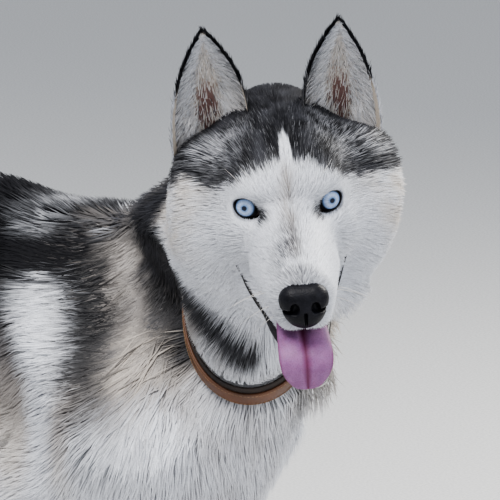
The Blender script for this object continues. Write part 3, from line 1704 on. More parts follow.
class Groomer:
    """Grows tufts over the skins.

    Attributes:
        fewest: Fewer tufts than this are not clumped.
        followers: How many tufts there are to each that leads a clump.
        strap_reach: How near to the strap's middle a tuft has to end to be held in by it.
        tapers: The widths of a tuft's rings as shares of its width, by how many rings it has.
    """

    fewest = 20
    followers = 9
    strap_reach = 190
    tapers = {2: (0.9, 0.75), 3: (0.75, 1.0, 0.8)}

    def __init__(self, body: Body, pattern: Pattern, noise: Noise) -> None:
        """Keeps what the coat follows.

        Args:
            body: The implicit dog.
            pattern: The markings.
            noise: Coherent noise.
        """
        self.body, self.pattern, self.noise = body, pattern, noise
        self.random = np.random.default_rng(SEED)

    def scatter(self, skin: Skin, density: Callable[[Array, Array], Array]) -> tuple[Array, Array]:
        """Random places on a skin.

        Args:
            skin: The skin.
            density: Tufts to a square millimetre at places with their shares of the regions.

        Returns:
            The places and their shares.
        """
        t = skin.triangles()
        a, b, c = (skin.points[t[:, i]] for i in range(3))
        area = np.linalg.norm(np.cross(b - a, c - a), axis=1) / 2
        middle = (a + b + c) / 3
        many = area * density(middle, self.body.shares(middle))
        count = np.floor(many + self.random.random(len(many))).astype(int)
        pick = np.repeat(np.arange(len(t)), count)
        u, v = self.random.random((2, len(pick)))
        over = u + v > 1
        u[over], v[over] = 1 - u[over], 1 - v[over]
        p = a[pick] + (b - a)[pick] * u[:, None] + (c - a)[pick] * v[:, None]
        return p, self.body.shares(p)

    def roots(self, p: Array, shares: Array, scale: Array | float = 1.0) -> Roots:
        """The coat's sizes and lie at roots.

        Args:
            p: The roots.
            shares: Their shares of the regions.
            scale: How much finer or coarser the tufts are.

        Returns:
            The roots.
        """
        coat = self.body.coat(p, shares)
        r = self.random
        lie = self.body.lie(p, shares)
        wave = np.stack([self.noise.at(p + 37.0 * i, 26) for i in range(3)], axis=1)
        fine = r.normal(size=p.shape)
        loose = (0.10 + 0.16 * smooth(coat["long"], 10, 50))[:, None]
        lie = unit(lie + loose * wave + 0.5 * loose * fine)
        long = coat["long"] * (0.75 + 0.5 * r.random(len(p)))
        angle = COLLAR.angle(p)
        _, rise = COLLAR.shape(angle)
        away = np.abs((p - COLLAR.middle) @ COLLAR.axis - rise) - SIZES.strap_wide / 2
        hidden = smooth(angle, 0.6, 1.0) * smooth(p[:, 0], 60, 110)
        coat["stand"] = coat["stand"] * np.maximum(smooth(away, 2, 26), hidden) + 14 * hidden * smooth(-away, -90, -40)
        wide = coat["wide"] * (0.7 + 0.6 * r.random(len(p))) * scale
        return Roots(p, long, wide, coat["depth"], coat["stand"], coat["clump"], lie)

    @staticmethod
    def clear_of_collar(line: Array) -> None:
        """Shortens the tufts that would cross the strap where it shows, so that they end at its edge.

        Args:
            line: The tufts' lines, changed in place.
        """
        above, angle, far = COLLAR.past(line[:, 0])
        last, last_angle, _ = COLLAR.past(line[:, -1])
        shown = COLLAR.shows(angle) & (far < 60)
        over_edge = shown & (above > 0) & (last < 1.0)
        share = np.where(over_edge, np.clip((above + 1.0) / np.maximum(above - last + 1.0, 1e-3), 0.05, 1), 1.0)
        under = shown & (above <= 0) & (above > -SIZES.strap_wide - 3)
        share = np.where(under, 0.02, share)
        below = COLLAR.shows(last_angle) & (above < -SIZES.strap_wide - 3) & (far < 60)
        share = np.where(below & (last > -SIZES.strap_wide), 0.2, share)
        line += (line[:, :1] - line) * (1 - share)[:, None, None]

    def grow(self, roots: Roots, form: Form, rings: int, reach: float = 14.0) -> Tufts:
        """Tufts that follow the lie and rise from the skin to the coat's outside.

        Args:
            roots: The roots.
            form: The form that they lie along.
            rings: Rings of points to a tuft.
            reach: Size of a clump.

        Returns:
            The tufts.
        """
        line = self.lines(roots, form, rings)
        self.gather(line, roots.clump, reach)
        near = np.linalg.norm(line[:, rings] - COLLAR.middle, axis=1) < self.strap_reach
        for k in range(1, rings + 1):
            line[near, k] = COLLAR.held_in(line[near, k])
        self.clear_of_collar(line)
        line[..., 2] = np.maximum(line[..., 2], roots.wide[:, None] * 0.6)
        return self.shaped(line, roots, form)

    def lines(self, roots: Roots, form: Form, rings: int) -> Array:
        """The middle lines of tufts.

        Args:
            roots: The roots.
            form: The form that they lie along.
            rings: Rings of points to a tuft.

        Returns:
            A row of points to each root, from the root to the tip.
        """
        lines = [roots.at]
        p = roots.at
        lift = 0.85 + 0.35 * self.random.random(len(p))
        way = roots.lie
        for k in range(1, rings + 1):
            g = unit(form.slope(p))
            flat = unit(way - g * (way * g).sum(axis=1, keepdims=True) * 0.9)
            p = p + flat * (roots.long / rings)[:, None]
            share = (k / rings) ** 0.8
            level = -roots.depth + 0.4 + (roots.depth + roots.stand * lift) * share
            level = np.minimum(level, form.value(p) + roots.long / rings * 0.8)
            p = form.drawn(p, level, 9.0)
            way = unit(0.6 * flat + 0.4 * roots.lie)
            lines.append(p)
        return np.stack(lines, axis=1)

    def shaped(self, line: Array, roots: Roots, form: Form) -> Tufts:
        """Gives tufts their width, their colours and their normals.

        Args:
            line: The tufts' middle lines.
            roots: The roots.
            form: The form that they lie along.

        Returns:
            The tufts.
        """
        r = self.random
        n, rings = len(line), line.shape[1] - 1
        places = line.reshape(-1, 3)
        places = places - unit(form.slope(places)) * np.clip(form.value(places), -20, 24)[:, None]
        grain = np.repeat(r.uniform(-0.8, 0.8, n), rings + 1)
        colour = self.pattern.colours(places, self.body.shares(places), self.body.tail_line, grain)
        along = unit(np.gradient(line, axis=1))
        g = unit(form.slope(line[:, 1]))
        end = unit(form.slope(line[:, rings]))
        share = (np.arange(rings + 1) / rings)[None, :, None]
        facing = unit(g[:, None] * (1 - share) + end[:, None] * share)
        side = unit(np.cross(along, g[:, None, :]))
        normals = soft_normals(facing, side, rings)
        spin = (r.random(n) - 0.5) * 0.8
        up = np.cross(side, along)
        side = side * np.cos(spin)[:, None, None] + up * np.sin(spin)[:, None, None]
        up = np.cross(side, along)
        half = (roots.wide / 2)[:, None] * np.array(self.tapers[rings])[None, :]
        rows = tuft_rings(line[:, :rings], side[:, :rings], up[:, :rings], half, 0.45)
        shade = 0.88 + 0.24 * r.random(n)
        return Tufts(rows, line[:, rings], roots.at, colour.reshape(line.shape), shade, normals)

    def gather(self, line: Array, clump: Array, reach: float) -> None:
        """Draws the ends of neighbours together.

        Args:
            line: The tufts' lines, changed in place.
            clump: How strongly, for each tuft.
            reach: Size of a clump.
        """
        n, count = line.shape[:2]
        if n < self.fewest:
            return
        lead = self.random.choice(n, max(4, int(n / self.followers)), replace=False)
        tree = kdtree.KDTree(len(lead))
        for i, j in enumerate(lead):
            tree.insert(line[j, 0], i)
        tree.balance()
        owner = np.empty(n, dtype=int)
        far = np.empty(n)
        for i, p in enumerate(line[:, 0].tolist()):
            _, j, d = tree.find(p)
            owner[i], far[i] = lead[j], d
        pull = clump * smooth(-far, -reach, -reach * 0.3)
        for k in range(1, count):
            share = (pull * (k / (count - 1)) ** 1.3)[:, None]
            line[:, k] += (line[owner, k] - line[:, k]) * share


class Unwrap(Enum):
    """How a piece of the skin is laid out flat."""

    AHEAD = "about the X axis"
    HEAD = "about the head's X axis"
    NECK = "about the neck's axis"
    LEG = "about an upright axis"


def laid_out(p: Array, how: Unwrap, middle: Array) -> Array:
    """Places of roots on the skin's unwrap.

    Args:
        p: Roots in the dog's frame.
        how: Which way.
        middle: A point on the axis.

    Returns:
        Two numbers of 0 to 1 for each root.
    """
    if how is Unwrap.HEAD:
        d, axes = to_head(p) - vec(-40, 0, -20), np.eye(3)
    elif how is Unwrap.NECK:
        d, axes = p - COLLAR.middle, np.stack([COLLAR.axis, COLLAR.side, COLLAR.front])
    elif how is Unwrap.LEG:
        d, axes = p - middle, np.array([[0, 0, 1], [1, 0, 0], [0, 1, 0]])
    else:
        d, axes = p - middle, np.eye(3)
    along, u, v = (d @ a for a in axes)
    low, high = along.min() - 1, along.max() + 1
    angle = np.arctan2(v, u) / (2 * math.pi) + 0.5
    return np.stack([0.004 + 0.992 * (along - low) / (high - low), 0.004 + 0.992 * angle], axis=1)


def ride(obj: bpy.types.Object) -> bpy.types.Object:
    """Sets a piece on the model's one body and names its finish.

    Args:
        obj: The piece.

    Returns:
        The piece.
    """
    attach(obj, "root")
    log.info("%s: %d faces", obj.name, len(obj.data.polygons))
    return obj


def mesh_of(name: str, points: Array, faces: Array) -> bpy.types.Object:
    """A smooth object from points in the dog's millimetres and faces of one size.

    Args:
        name: The piece's name.
        points: Points, one to a row.
        faces: Faces, one to a row.

    Returns:
        The object, in the frame.
    """
    mesh = bpy.data.meshes.new(name)
    count, size = faces.shape
    mesh.vertices.add(len(points))
    mesh.vertices.foreach_set("co", ((points + SHIFT) / 1000).astype(np.float32).ravel())
    mesh.loops.add(count * size)
    mesh.loops.foreach_set("vertex_index", faces.astype(np.int32).ravel())
    mesh.polygons.add(count)
    mesh.polygons.foreach_set("loop_start", np.arange(count, dtype=np.int32) * size)
    mesh.polygons.foreach_set("use_smooth", np.ones(count, dtype=bool))
    mesh.update(calc_edges=True)
    mesh.validate()
    obj = bpy.data.objects.new(name, mesh)
    bpy.context.scene.collection.objects.link(obj)
    return obj


def colour_points(obj: bpy.types.Object, name: str, colours: Array) -> None:
    """Gives the points of a mesh a colour.

    Args:
        obj: The object.
        name: The attribute's name.
        colours: Three numbers to a point.
    """
    layer = obj.data.color_attributes.new(name, "FLOAT_COLOR", "POINT")
    full = np.concatenate([colours, np.ones((len(colours), 1))], axis=1)
    layer.data.foreach_set("color", full.astype(np.float32).ravel())


def vectors_on(obj: bpy.types.Object, name: str, vectors: Array) -> None:
    """Gives the points of a mesh a vector.

    Args:
        obj: The object.
        name: The attribute's name.
        vectors: Three numbers to a point.
    """
    layer = obj.data.attributes.new(name, "FLOAT_VECTOR", "POINT")
    layer.data.foreach_set("vector", vectors.astype(np.float32).ravel())


def numbers_on(obj: bpy.types.Object, name: str, values: Array) -> None:
    """Gives the points of a mesh a number.

    Args:
        obj: The object.
        name: The attribute's name.
        values: One number to a point.
    """
    layer = obj.data.attributes.new(name, "FLOAT", "POINT")
    layer.data.foreach_set("value", values.astype(np.float32).ravel())


class Tree:
    """A short way to write node trees."""

    def __init__(self, tree: bpy.types.NodeTree) -> None:
        """Starts on a tree.

        Args:
            tree: A material's or a group's tree.
        """
        self.tree = tree

    def add(self, kind: str, inputs: dict[str | int, object] | None = None, **settings: object) -> bpy.types.Node:
        """Adds a node.

        Args:
            kind: The node's type.
            inputs: Constants and sockets to feed its inputs with.
            **settings: Properties of the node.

        Returns:
            The node.
        """
        node = self.tree.nodes.new(kind)
        for key, value in settings.items():
            setattr(node, key, value)
        self.feed(node, inputs or {})
        return node

    def feed(self, node: bpy.types.Node, inputs: dict[str | int, object]) -> None:
        """Feeds a node's inputs.

        Args:
            node: The node.
            inputs: A constant or a socket to each input.
        """
        for key, value in inputs.items():
            if isinstance(value, bpy.types.NodeSocket):
                self.tree.links.new(value, node.inputs[key])
            else:
                node.inputs[key].default_value = value

    def even(self, value: bpy.types.NodeSocket) -> bpy.types.NodeSocket:
        """A grey of a value."""
        return self.add("ShaderNodeCombineColor", {i: value for i in range(3)}).outputs[0]

    def attribute(self, name: str) -> bpy.types.Node:
        """A node that reads one of the mesh's attributes."""
        return self.add("ShaderNodeAttribute", attribute_name=name)

    def place(self) -> bpy.types.NodeSocket:
        """The place on the object, in metres."""
        return self.add("ShaderNodeTexCoord").outputs["Object"]

    def math(self, operation: str, a: object, b: object = 0.0) -> bpy.types.NodeSocket:
        """A sum of numbers.

        Args:
            operation: Its name.
            a: First value or socket.
            b: Second value or socket.

        Returns:
            The result.
        """
        return self.add("ShaderNodeMath", {0: a, 1: b}, operation=operation).outputs[0]

    def ramp(self, factor: bpy.types.NodeSocket,
             stops: Sequence[tuple[float, tuple[float, ...]]]) -> bpy.types.NodeSocket:
        """A colour ramp.

        Args:
            factor: What it reads.
            stops: Places and colours.

        Returns:
            The colour.
        """
        node = self.add("ShaderNodeValToRGB", {0: factor})
        elements = node.color_ramp.elements
        while len(elements) < len(stops):
            elements.new(0.5)
        for element, (at, colour) in zip(elements, stops):
            element.position = at
            element.color = (*colour, 1.0)
        return node.outputs[0]

    def mixed(self, a: object, b: object, factor: object, mode: str = "MIX") -> bpy.types.NodeSocket:
        """A mix of two colours.

        Args:
            a: First colour or socket.
            b: Second colour or socket.
            factor: Share of the second.
            mode: How they mix.

        Returns:
            The colour.
        """
        colours = {6: a, 7: b}
        for key, value in colours.items():
            if not isinstance(value, bpy.types.NodeSocket):
                colours[key] = (*value, 1.0)[:4]
        node = self.add("ShaderNodeMix", {0: factor, **colours}, data_type="RGBA", blend_type=mode)
        return node.outputs[2]


def hair_grain() -> bpy.types.NodeTree:
    """A shared group: fine hair drawn out along the lie of the coat.

    Returns:
        The group, with a colour factor and a height.
    """
    group = bpy.data.node_groups.new("HairGrain", "ShaderNodeTree")
    group.interface.new_socket("Place", in_out="INPUT", socket_type="NodeSocketVector")
    group.interface.new_socket("Lie", in_out="INPUT", socket_type="NodeSocketVector")
    group.interface.new_socket("Fine", in_out="INPUT", socket_type="NodeSocketFloat")
    group.interface.new_socket("Shade", in_out="OUTPUT", socket_type="NodeSocketFloat")
    group.interface.new_socket("Height", in_out="OUTPUT", socket_type="NodeSocketFloat")
    t = Tree(group)
    start, end = t.add("NodeGroupInput"), t.add("NodeGroupOutput")
    along = t.add("ShaderNodeVectorMath", {0: start.outputs["Place"], 1: start.outputs["Lie"]},
                  operation="DOT_PRODUCT").outputs["Value"]
    less = t.math("MULTIPLY", along, -0.9)
    drawn = t.add("ShaderNodeVectorMath", {0: start.outputs["Lie"]}, operation="SCALE")
    group.links.new(less, drawn.inputs["Scale"])
    place = t.add("ShaderNodeVectorMath", {0: start.outputs["Place"], 1: drawn.outputs[0]}, operation="ADD")
    scaled = t.add("ShaderNodeVectorMath", {0: place.outputs[0]}, operation="SCALE")
    group.links.new(start.outputs["Fine"], scaled.inputs["Scale"])
    hair = t.add("ShaderNodeTexNoise", {"Vector": scaled.outputs[0], "Scale": 1.0, "Detail": 4.0, "Roughness": 0.65})
    group.links.new(hair.outputs[0], end.inputs["Height"])
    shade = t.add("ShaderNodeMapRange", {0: hair.outputs[0], 1: 0.3, 2: 0.7, 3: 0.72, 4: 1.18})
    group.links.new(shade.outputs[0], end.inputs["Shade"])
    return group


def blank_material(name: str) -> tuple[bpy.types.Material, Tree, bpy.types.Node]:
    """A new material.

    Args:
        name: Its name.

    Returns:
        The material, its node tree and its shader.
    """
    material = bpy.data.materials.new(name)
    material.use_nodes = True
    return material, Tree(material.node_tree), material.node_tree.nodes["Principled BSDF"]


@dataclass(frozen=True)
class HairFinish:
    """Hair of the coat's tufts: their own colour with fine streaks."""

    name: str
    roughness: float = 0.52
    specular: float = 0.22
    sheen: float = 0.04

    def make(self) -> bpy.types.Material:
        """Builds the material."""
        material, t, shader = blank_material(self.name)
        tint = t.attribute("coat")
        streak = t.add("ShaderNodeTexNoise", {"Vector": t.place(), "Scale": 900.0, "Detail": 2.0})
        shade = t.add("ShaderNodeMapRange", {0: streak.outputs[0], 1: 0.3, 2: 0.7, 3: 0.86, 4: 1.12})
        t.feed(shader, {"Base Color": t.mixed(tint.outputs["Color"], t.even(shade.outputs[0]), 1.0, "MULTIPLY"),
                        "Roughness": self.roughness, "Specular IOR Level": self.specular,
                        "Sheen Weight": self.sheen, "Sheen Roughness": 0.5})
        return material


@dataclass(frozen=True)
class HideFinish:
    """Close hair on the skin itself: the markings with grain and a fine bump."""

    name: str
    fine: float = 1900.0
    bump: float = 0.6
    deep: float = 0.0006

    def make(self, grain: bpy.types.NodeTree) -> bpy.types.Material:
        """Builds the material.

        Args:
            grain: The shared hair group.
        """
        material, t, shader = blank_material(self.name)
        tint, lie, wet = t.attribute("coat"), t.attribute("lie"), t.attribute("bare")
        hair = t.add("ShaderNodeGroup", node_tree=grain)
        t.feed(hair, {"Place": t.place(), "Lie": lie.outputs["Vector"], "Fine": self.fine})
        rough = t.add("ShaderNodeMapRange", {0: wet.outputs["Fac"], 3: 0.7, 4: 0.32})
        bump = t.add("ShaderNodeBump", {"Height": hair.outputs["Height"], "Strength": self.bump,
                                        "Distance": self.deep})
        t.feed(shader, {"Base Color": t.mixed(tint.outputs["Color"], t.even(hair.outputs["Shade"]), 1.0, "MULTIPLY"),
                        "Roughness": rough.outputs[0], "Normal": bump.outputs[0], "Specular IOR Level": 0.3})
        return material


@dataclass(frozen=True)
class EyeFinish:
    """A pale blue iris with streaks, a dark ring and a small pupil under a clear cornea."""

    pupil: float = 0.15
    ring: float = 0.585

    def make(self) -> bpy.types.Material:
        """Builds the material."""
        material, t, shader = blank_material("iris")
        at = t.attribute("eye_at")
        parts = t.add("ShaderNodeSeparateXYZ", {0: at.outputs["Vector"]})
        flat = t.add("ShaderNodeCombineXYZ", {1: parts.outputs[1], 2: parts.outputs[2]})
        reach = t.add("ShaderNodeVectorMath", {0: flat.outputs[0]}, operation="LENGTH").outputs["Value"]
        spoke = t.add("ShaderNodeVectorMath", {0: flat.outputs[0]}, operation="NORMALIZE").outputs[0]
        streak = t.add("ShaderNodeTexNoise", {"Vector": spoke, "Scale": 9.0, "Detail": 5.0, "Roughness": 0.7})
        uneven = t.math("MULTIPLY", t.math("SUBTRACT", streak.outputs[0], 0.5), 0.07)
        factor = t.math("ADD", reach, uneven)
        iris = t.ramp(factor, [
            (0.0, (0.002, 0.004, 0.012)), (self.pupil - 0.02, (0.004, 0.010, 0.03)),
            (self.pupil + 0.035, (0.20, 0.32, 0.56)), (0.32, (0.52, 0.64, 0.87)), (0.50, (0.36, 0.50, 0.78)),
            (self.ring - 0.03, (0.12, 0.19, 0.34)),
            (self.ring + 0.02, (0.008, 0.010, 0.016)), (0.78, (0.012, 0.010, 0.011)), (0.92, (0.24, 0.17, 0.16)),
        ])
        fibre = t.add("ShaderNodeMapRange", {0: streak.outputs[0], 1: 0.32, 2: 0.68, 3: 0.7, 4: 1.25})
        bump = t.add("ShaderNodeBump", {"Height": streak.outputs[0], "Strength": 0.25, "Distance": 0.0002})
        t.feed(shader, {"Base Color": t.mixed(iris, t.even(fibre.outputs[0]), 1.0, "MULTIPLY"),
                        "Normal": bump.outputs[0], "Roughness": 0.28, "Specular IOR Level": 0.2,
                        "Coat Weight": 0.4, "Coat Roughness": 0.02})
        return material


@dataclass(frozen=True)
class SolidFinish:
    """A surface with its own fine structure: mottled colour, uneven gloss and bump.

    Attributes:
        name: The material's name.
        dark: Colour of its lows.
        light: Colour of its highs.
        scale: Size of the mottling, in features to a metre.
        grain: Size of the bump, in features to a metre.
        cells: True for pebbled grain instead of noise.
        rough: Lowest and highest roughness.
        bump: How strong the bump is.
        deep: How deep the bump is, in metres.
        metal: Metallic.
        soft: Subsurface weight.
        marked: Colour where the attribute "mark" is 1.
        shine: Specular level.
    """

    name: str
    dark: tuple[float, float, float]
    light: tuple[float, float, float]
    scale: float = 60.0
    grain: float = 700.0
    cells: bool = False
    rough: tuple[float, float] = (0.4, 0.6)
    bump: float = 0.4
    deep: float = 0.0003
    metal: float = 0.0
    soft: float = 0.0
    marked: tuple[float, float, float] | None = None
    shine: float = 0.5

    def make(self) -> bpy.types.Material:
        """Builds the material."""
        material, t, shader = blank_material(self.name)
        place = t.place()
        mottle = t.add("ShaderNodeTexNoise", {"Vector": place, "Scale": self.scale, "Detail": 5.0, "Roughness": 0.6})
        colour = t.ramp(mottle.outputs[0], [(0.32, self.dark), (0.68, self.light)])
        if self.cells:
            fine = t.add("ShaderNodeTexVoronoi", {"Vector": place, "Scale": self.grain}, feature="SMOOTH_F1")
            height = t.math("SUBTRACT", 1.0, fine.outputs["Distance"])
        else:
            height = t.add("ShaderNodeTexNoise", {"Vector": place, "Scale": self.grain, "Detail": 3.0}).outputs[0]
        pit = t.add("ShaderNodeMapRange", {0: height, 1: 0.3, 2: 0.7, 3: 0.86, 4: 1.08})
        if self.marked:
            colour = t.mixed(colour, self.marked, t.attribute("mark").outputs["Fac"])
        rough = t.add("ShaderNodeMapRange", {0: mottle.outputs[0], 1: 0.3, 2: 0.7, 3: self.rough[0], 4: self.rough[1]})
        bump = t.add("ShaderNodeBump", {"Height": height, "Strength": self.bump, "Distance": self.deep})
        t.feed(shader, {"Base Color": t.mixed(colour, t.even(pit.outputs[0]), 1.0, "MULTIPLY"),
                        "Roughness": rough.outputs[0], "Normal": bump.outputs[0], "Specular IOR Level": self.shine,
                        "Metallic": self.metal, "Subsurface Weight": self.soft, "Subsurface Scale": 0.003})
        return material


class Finishes:
    """All finishes, built once."""

    def __init__(self) -> None:
        """Builds the materials."""
        grain = hair_grain()
        self.white = HairFinish("coat_white").make()
        self.grey = HairFinish("coat_grey").make()
        self.dark = HairFinish("coat_dark", roughness=0.58, specular=0.07, sheen=0.0).make()
        self.hide = HideFinish("hide").make(grain)
        self.ear = HideFinish("ear_skin", fine=2600.0, bump=0.35).make(grain)
        self.iris = EyeFinish().make()
        self.lid = SolidFinish("lid", (0.004, 0.003, 0.004), (0.012, 0.010, 0.011), rough=(0.4, 0.52),
                               shine=0.3).make()
        self.nose = SolidFinish("nose", (0.0025, 0.0025, 0.004), (0.009, 0.009, 0.013), scale=120, grain=900,
                                cells=True, rough=(0.38, 0.52), bump=0.5, deep=0.0004, shine=0.2).make()
        self.tongue = SolidFinish("tongue", (0.21, 0.085, 0.20), (0.29, 0.135, 0.285), scale=90, grain=1500,
                                  cells=True, rough=(0.5, 0.62), bump=0.35, deep=0.0003, soft=0.15, shine=0.35,
                                  marked=(0.13, 0.02, 0.07)).make()
        self.claw = SolidFinish("claw", (0.03, 0.026, 0.024), (0.16, 0.13, 0.11), scale=500, grain=1200,
                                rough=(0.25, 0.4), bump=0.2).make()
        self.pad = SolidFinish("pad", (0.010, 0.009, 0.010), (0.035, 0.030, 0.031), scale=200, grain=900, cells=True,
                               rough=(0.55, 0.75), bump=0.6).make()
        self.leather = SolidFinish("strap_leather", (0.06, 0.022, 0.009), (0.14, 0.054, 0.021), scale=45, grain=1300,
                                   cells=True, rough=(0.36, 0.55), bump=0.3, deep=0.00025).make()
        self.lining = SolidFinish("strap_lining", (0.010, 0.007, 0.006), (0.035, 0.022, 0.017), scale=160, grain=1600,
                                  rough=(0.7, 0.85), bump=0.5).make()
        self.thread = SolidFinish("strap_thread", (0.18, 0.10, 0.05), (0.38, 0.24, 0.13), scale=900, grain=3000,
                                  rough=(0.6, 0.8)).make()
        self.metal = SolidFinish("metal", (0.42, 0.41, 0.39), (0.62, 0.61, 0.58), scale=150, grain=900,
                                 rough=(0.22, 0.36), bump=0.12, metal=1.0).make()
        self.whisker = SolidFinish("whisker", (0.5, 0.48, 0.45), (0.75, 0.73, 0.70), scale=300,
                                   rough=(0.35, 0.5)).make()


class Hide:
    """The one skin under the coat, from the lips to the tail."""

    nodes = ["head", "jaw", "neck", "torso", "tail_base", "tail_tip"] + [
        f"{part}_{side}" for part in ("fore_leg", "fore_paw", "thigh", "hock", "hind_paw")
        for side in ("left", "right")
    ]

    def __init__(self, body: Body, pattern: Pattern, finishes: Finishes) -> None:
        """Keeps what it is made from.

        Args:
            body: The implicit dog.
            pattern: The markings.
            finishes: The finishes.
        """
        self.body, self.pattern, self.finishes = body, pattern, finishes
        sculptor = Sculptor(body)
        self.head = sculptor.head_skin()
        self.trunk = sculptor.body_skin()
        self.paws = sculptor.paw_skins()

    def build(self) -> bpy.types.Object:
        """Joins the skins in one mesh.

        Returns:
            The skin.
        """
        skins = [self.head, self.trunk, *self.paws]
        starts = np.cumsum([0] + [len(s.points) for s in skins])
        points = np.vstack([s.points for s in skins])
        faces = np.vstack([s.faces + start for s, start in zip(skins, starts)])
        obj = mesh_of("skin", points, faces)
        self.dress(obj, points)
        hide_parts(*self.nodes)
        return ride(obj)

    def dress(self, obj: bpy.types.Object, p: Array) -> None:
        """Gives the skin its markings, its lie and its bare edges.

        Args:
            obj: The skin.
            p: Its points in the dog's frame.
        """
        shares = self.body.shares(p)
        coat = self.body.coat(p, shares)
        out = np.vstack([unit(s.form.slope(s.points)) for s in (self.head, self.trunk, *self.paws)])
        shown = p + out * coat["depth"][:, None]
        colour = self.pattern.colours(shown, self.body.shares(shown), self.body.tail_line)
        colour = colour * mix(1.0, 0.9, smooth(coat["long"], 14, 40))[:, None]
        h = to_head(p)
        lips = Face.mouth_level(h)
        ahead = h[:, 0] > 10
        lip = np.where(ahead, smooth(-lips, -3.2, -1.6), 0.0)
        inside = np.where(ahead, smooth(-lips, -0.4, 0.6), 0.0)
        colour = mix(colour, np.array(TINTS.lip), lip)
        colour = mix(colour, np.array(TINTS.mouth), inside * 0.8)
        bare = lip.copy()
        for s in (1, -1):
            level = Face.lid_level(h, s)
            near = np.linalg.norm(h - Face.eye_middle(s), axis=1) < Face.socket
            rim = np.where(near, smooth(-level, -0.3, 0.3), 0.0)
            tear = np.array([14.5, 20.5 * s, -5.0])
            spot = np.exp(-(((h - tear) / np.array([5.0, 3.2, 3.0])) ** 2).sum(axis=1) * 1.3)
            dark = np.maximum(rim, 0.85 * smooth(spot, 0.25, 0.7))
            colour = mix(colour, np.array(TINTS.lip), np.clip(dark, 0, 1))
            bare = np.maximum(bare, rim)
        colour_points(obj, "coat", colour)
        vectors_on(obj, "lie", self.body.lie(p, shares))
        numbers_on(obj, "bare", bare)
        obj.data.materials.append(self.finishes.hide)


class Coat:
    """All tufts of the coat, as pieces by tone: white, grey and dark.

    Attributes:
        most_triangles: The most triangles of a piece.
        pale_from: The lightness above which a tuft is white.
        grey_from: The lightness above which it is grey.
        patch: The size of a tuft's patch on the unwrap.
    """

    most_triangles = 190000
    pale_from = 0.38
    grey_from = 0.11
    patch = 0.003

    def __init__(self, finishes: Finishes) -> None:
        """Keeps the finishes.

        Args:
            finishes: The finishes.
        """
        self.finishes = finishes
        self.triangles = 0

    def dress(self, name: str, tufts: Tufts, how: Unwrap, middle: Array, root_shade: float = 0.6) -> None:
        """Makes pieces from tufts, by tone and in bounds of size.

        Args:
            name: Start of the pieces' names.
            tufts: The tufts.
            how: The unwrap.
            middle: A point on the unwrap's axis.
            root_shade: How dark the roots are against the ends.
        """
        light = tufts.colour.mean(axis=1) @ np.array([0.3, 0.6, 0.1])
        places = laid_out(tufts.roots, how, middle)
        pale, dark = light > self.pale_from, light <= self.grey_from
        most = self.most_triangles // (4 * (tufts.rings.shape[1] - 1) + 2)
        for tone, here in (("white", pale), ("grey", ~pale & ~dark), ("dark", dark)):
            pick = np.flatnonzero(here)
            pick = pick[np.argsort(places[pick, 0], kind="stable")]
            for number, start in enumerate(range(0, len(pick), most)):
                chosen = pick[start:start + most]
                self.piece(f"{name}_{tone}_{number + 1}", tufts, chosen, places[chosen], tone, root_shade)

    def piece(self, name: str, tufts: Tufts, pick: Array, places: Array, tone: str, root_shade: float) -> None:
        """One piece of the coat.

        Args:
            name: The piece's name.
            tufts: All tufts.
            pick: Which of them.
            places: Their roots on the unwrap.
            tone: Which finish.
            root_shade: How dark the roots are.
        """
        rings = tufts.rings[pick]
        n, r = rings.shape[:2]
        points = np.concatenate([rings.reshape(n, r * 3, 3), tufts.tips[pick][:, None, :]], axis=1)
        size = r * 3 + 1
        pattern = []
        for k in range(r - 1):
            a, b = 3 * k, 3 * k + 3
            pattern += [(a, a + 1, b + 1), (a, b + 1, b), (a + 1, a + 2, b + 2), (a + 1, b + 2, b + 1)]
        e = 3 * (r - 1)
        pattern += [(e, e + 1, size - 1), (e + 1, e + 2, size - 1)]
        faces = (np.array(pattern)[None] + (np.arange(n) * size)[:, None, None]).reshape(-1, 3)
        obj = mesh_of(name, points.reshape(-1, 3), faces)
        obj.data.normals_split_custom_set_from_vertices(tufts.normals[pick].reshape(-1, 3))
        along = np.concatenate([np.repeat(np.arange(r) / r, 3), [1.0]])
        gradient = root_shade + (1.06 - root_shade) * along
        own = tufts.colour[pick]
        colour = np.concatenate([np.repeat(own[:, :r], 3, axis=1), own[:, r:]], axis=1)
        colour = colour * (tufts.shade[pick][:, None] * gradient[None, :])[..., None]
        colour_points(obj, "coat", np.clip(colour, 0.003, 0.98).reshape(-1, 3))
        across = np.concatenate([np.tile([-self.patch / 2, 0.0, self.patch / 2], r), [0.0]])
        patch = np.stack([across, -self.patch / 2 + self.patch * along], axis=1)
        uv = (places[:, None, :] + patch[None]).reshape(-1, 2)
        layer = obj.data.uv_layers.new(name="OFBake")
        layer.data.foreach_set("uv", uv[faces.ravel()].astype(np.float32).ravel())
        obj.data.materials.append(getattr(self.finishes, tone))
        ride(obj)
        self.triangles += len(faces)


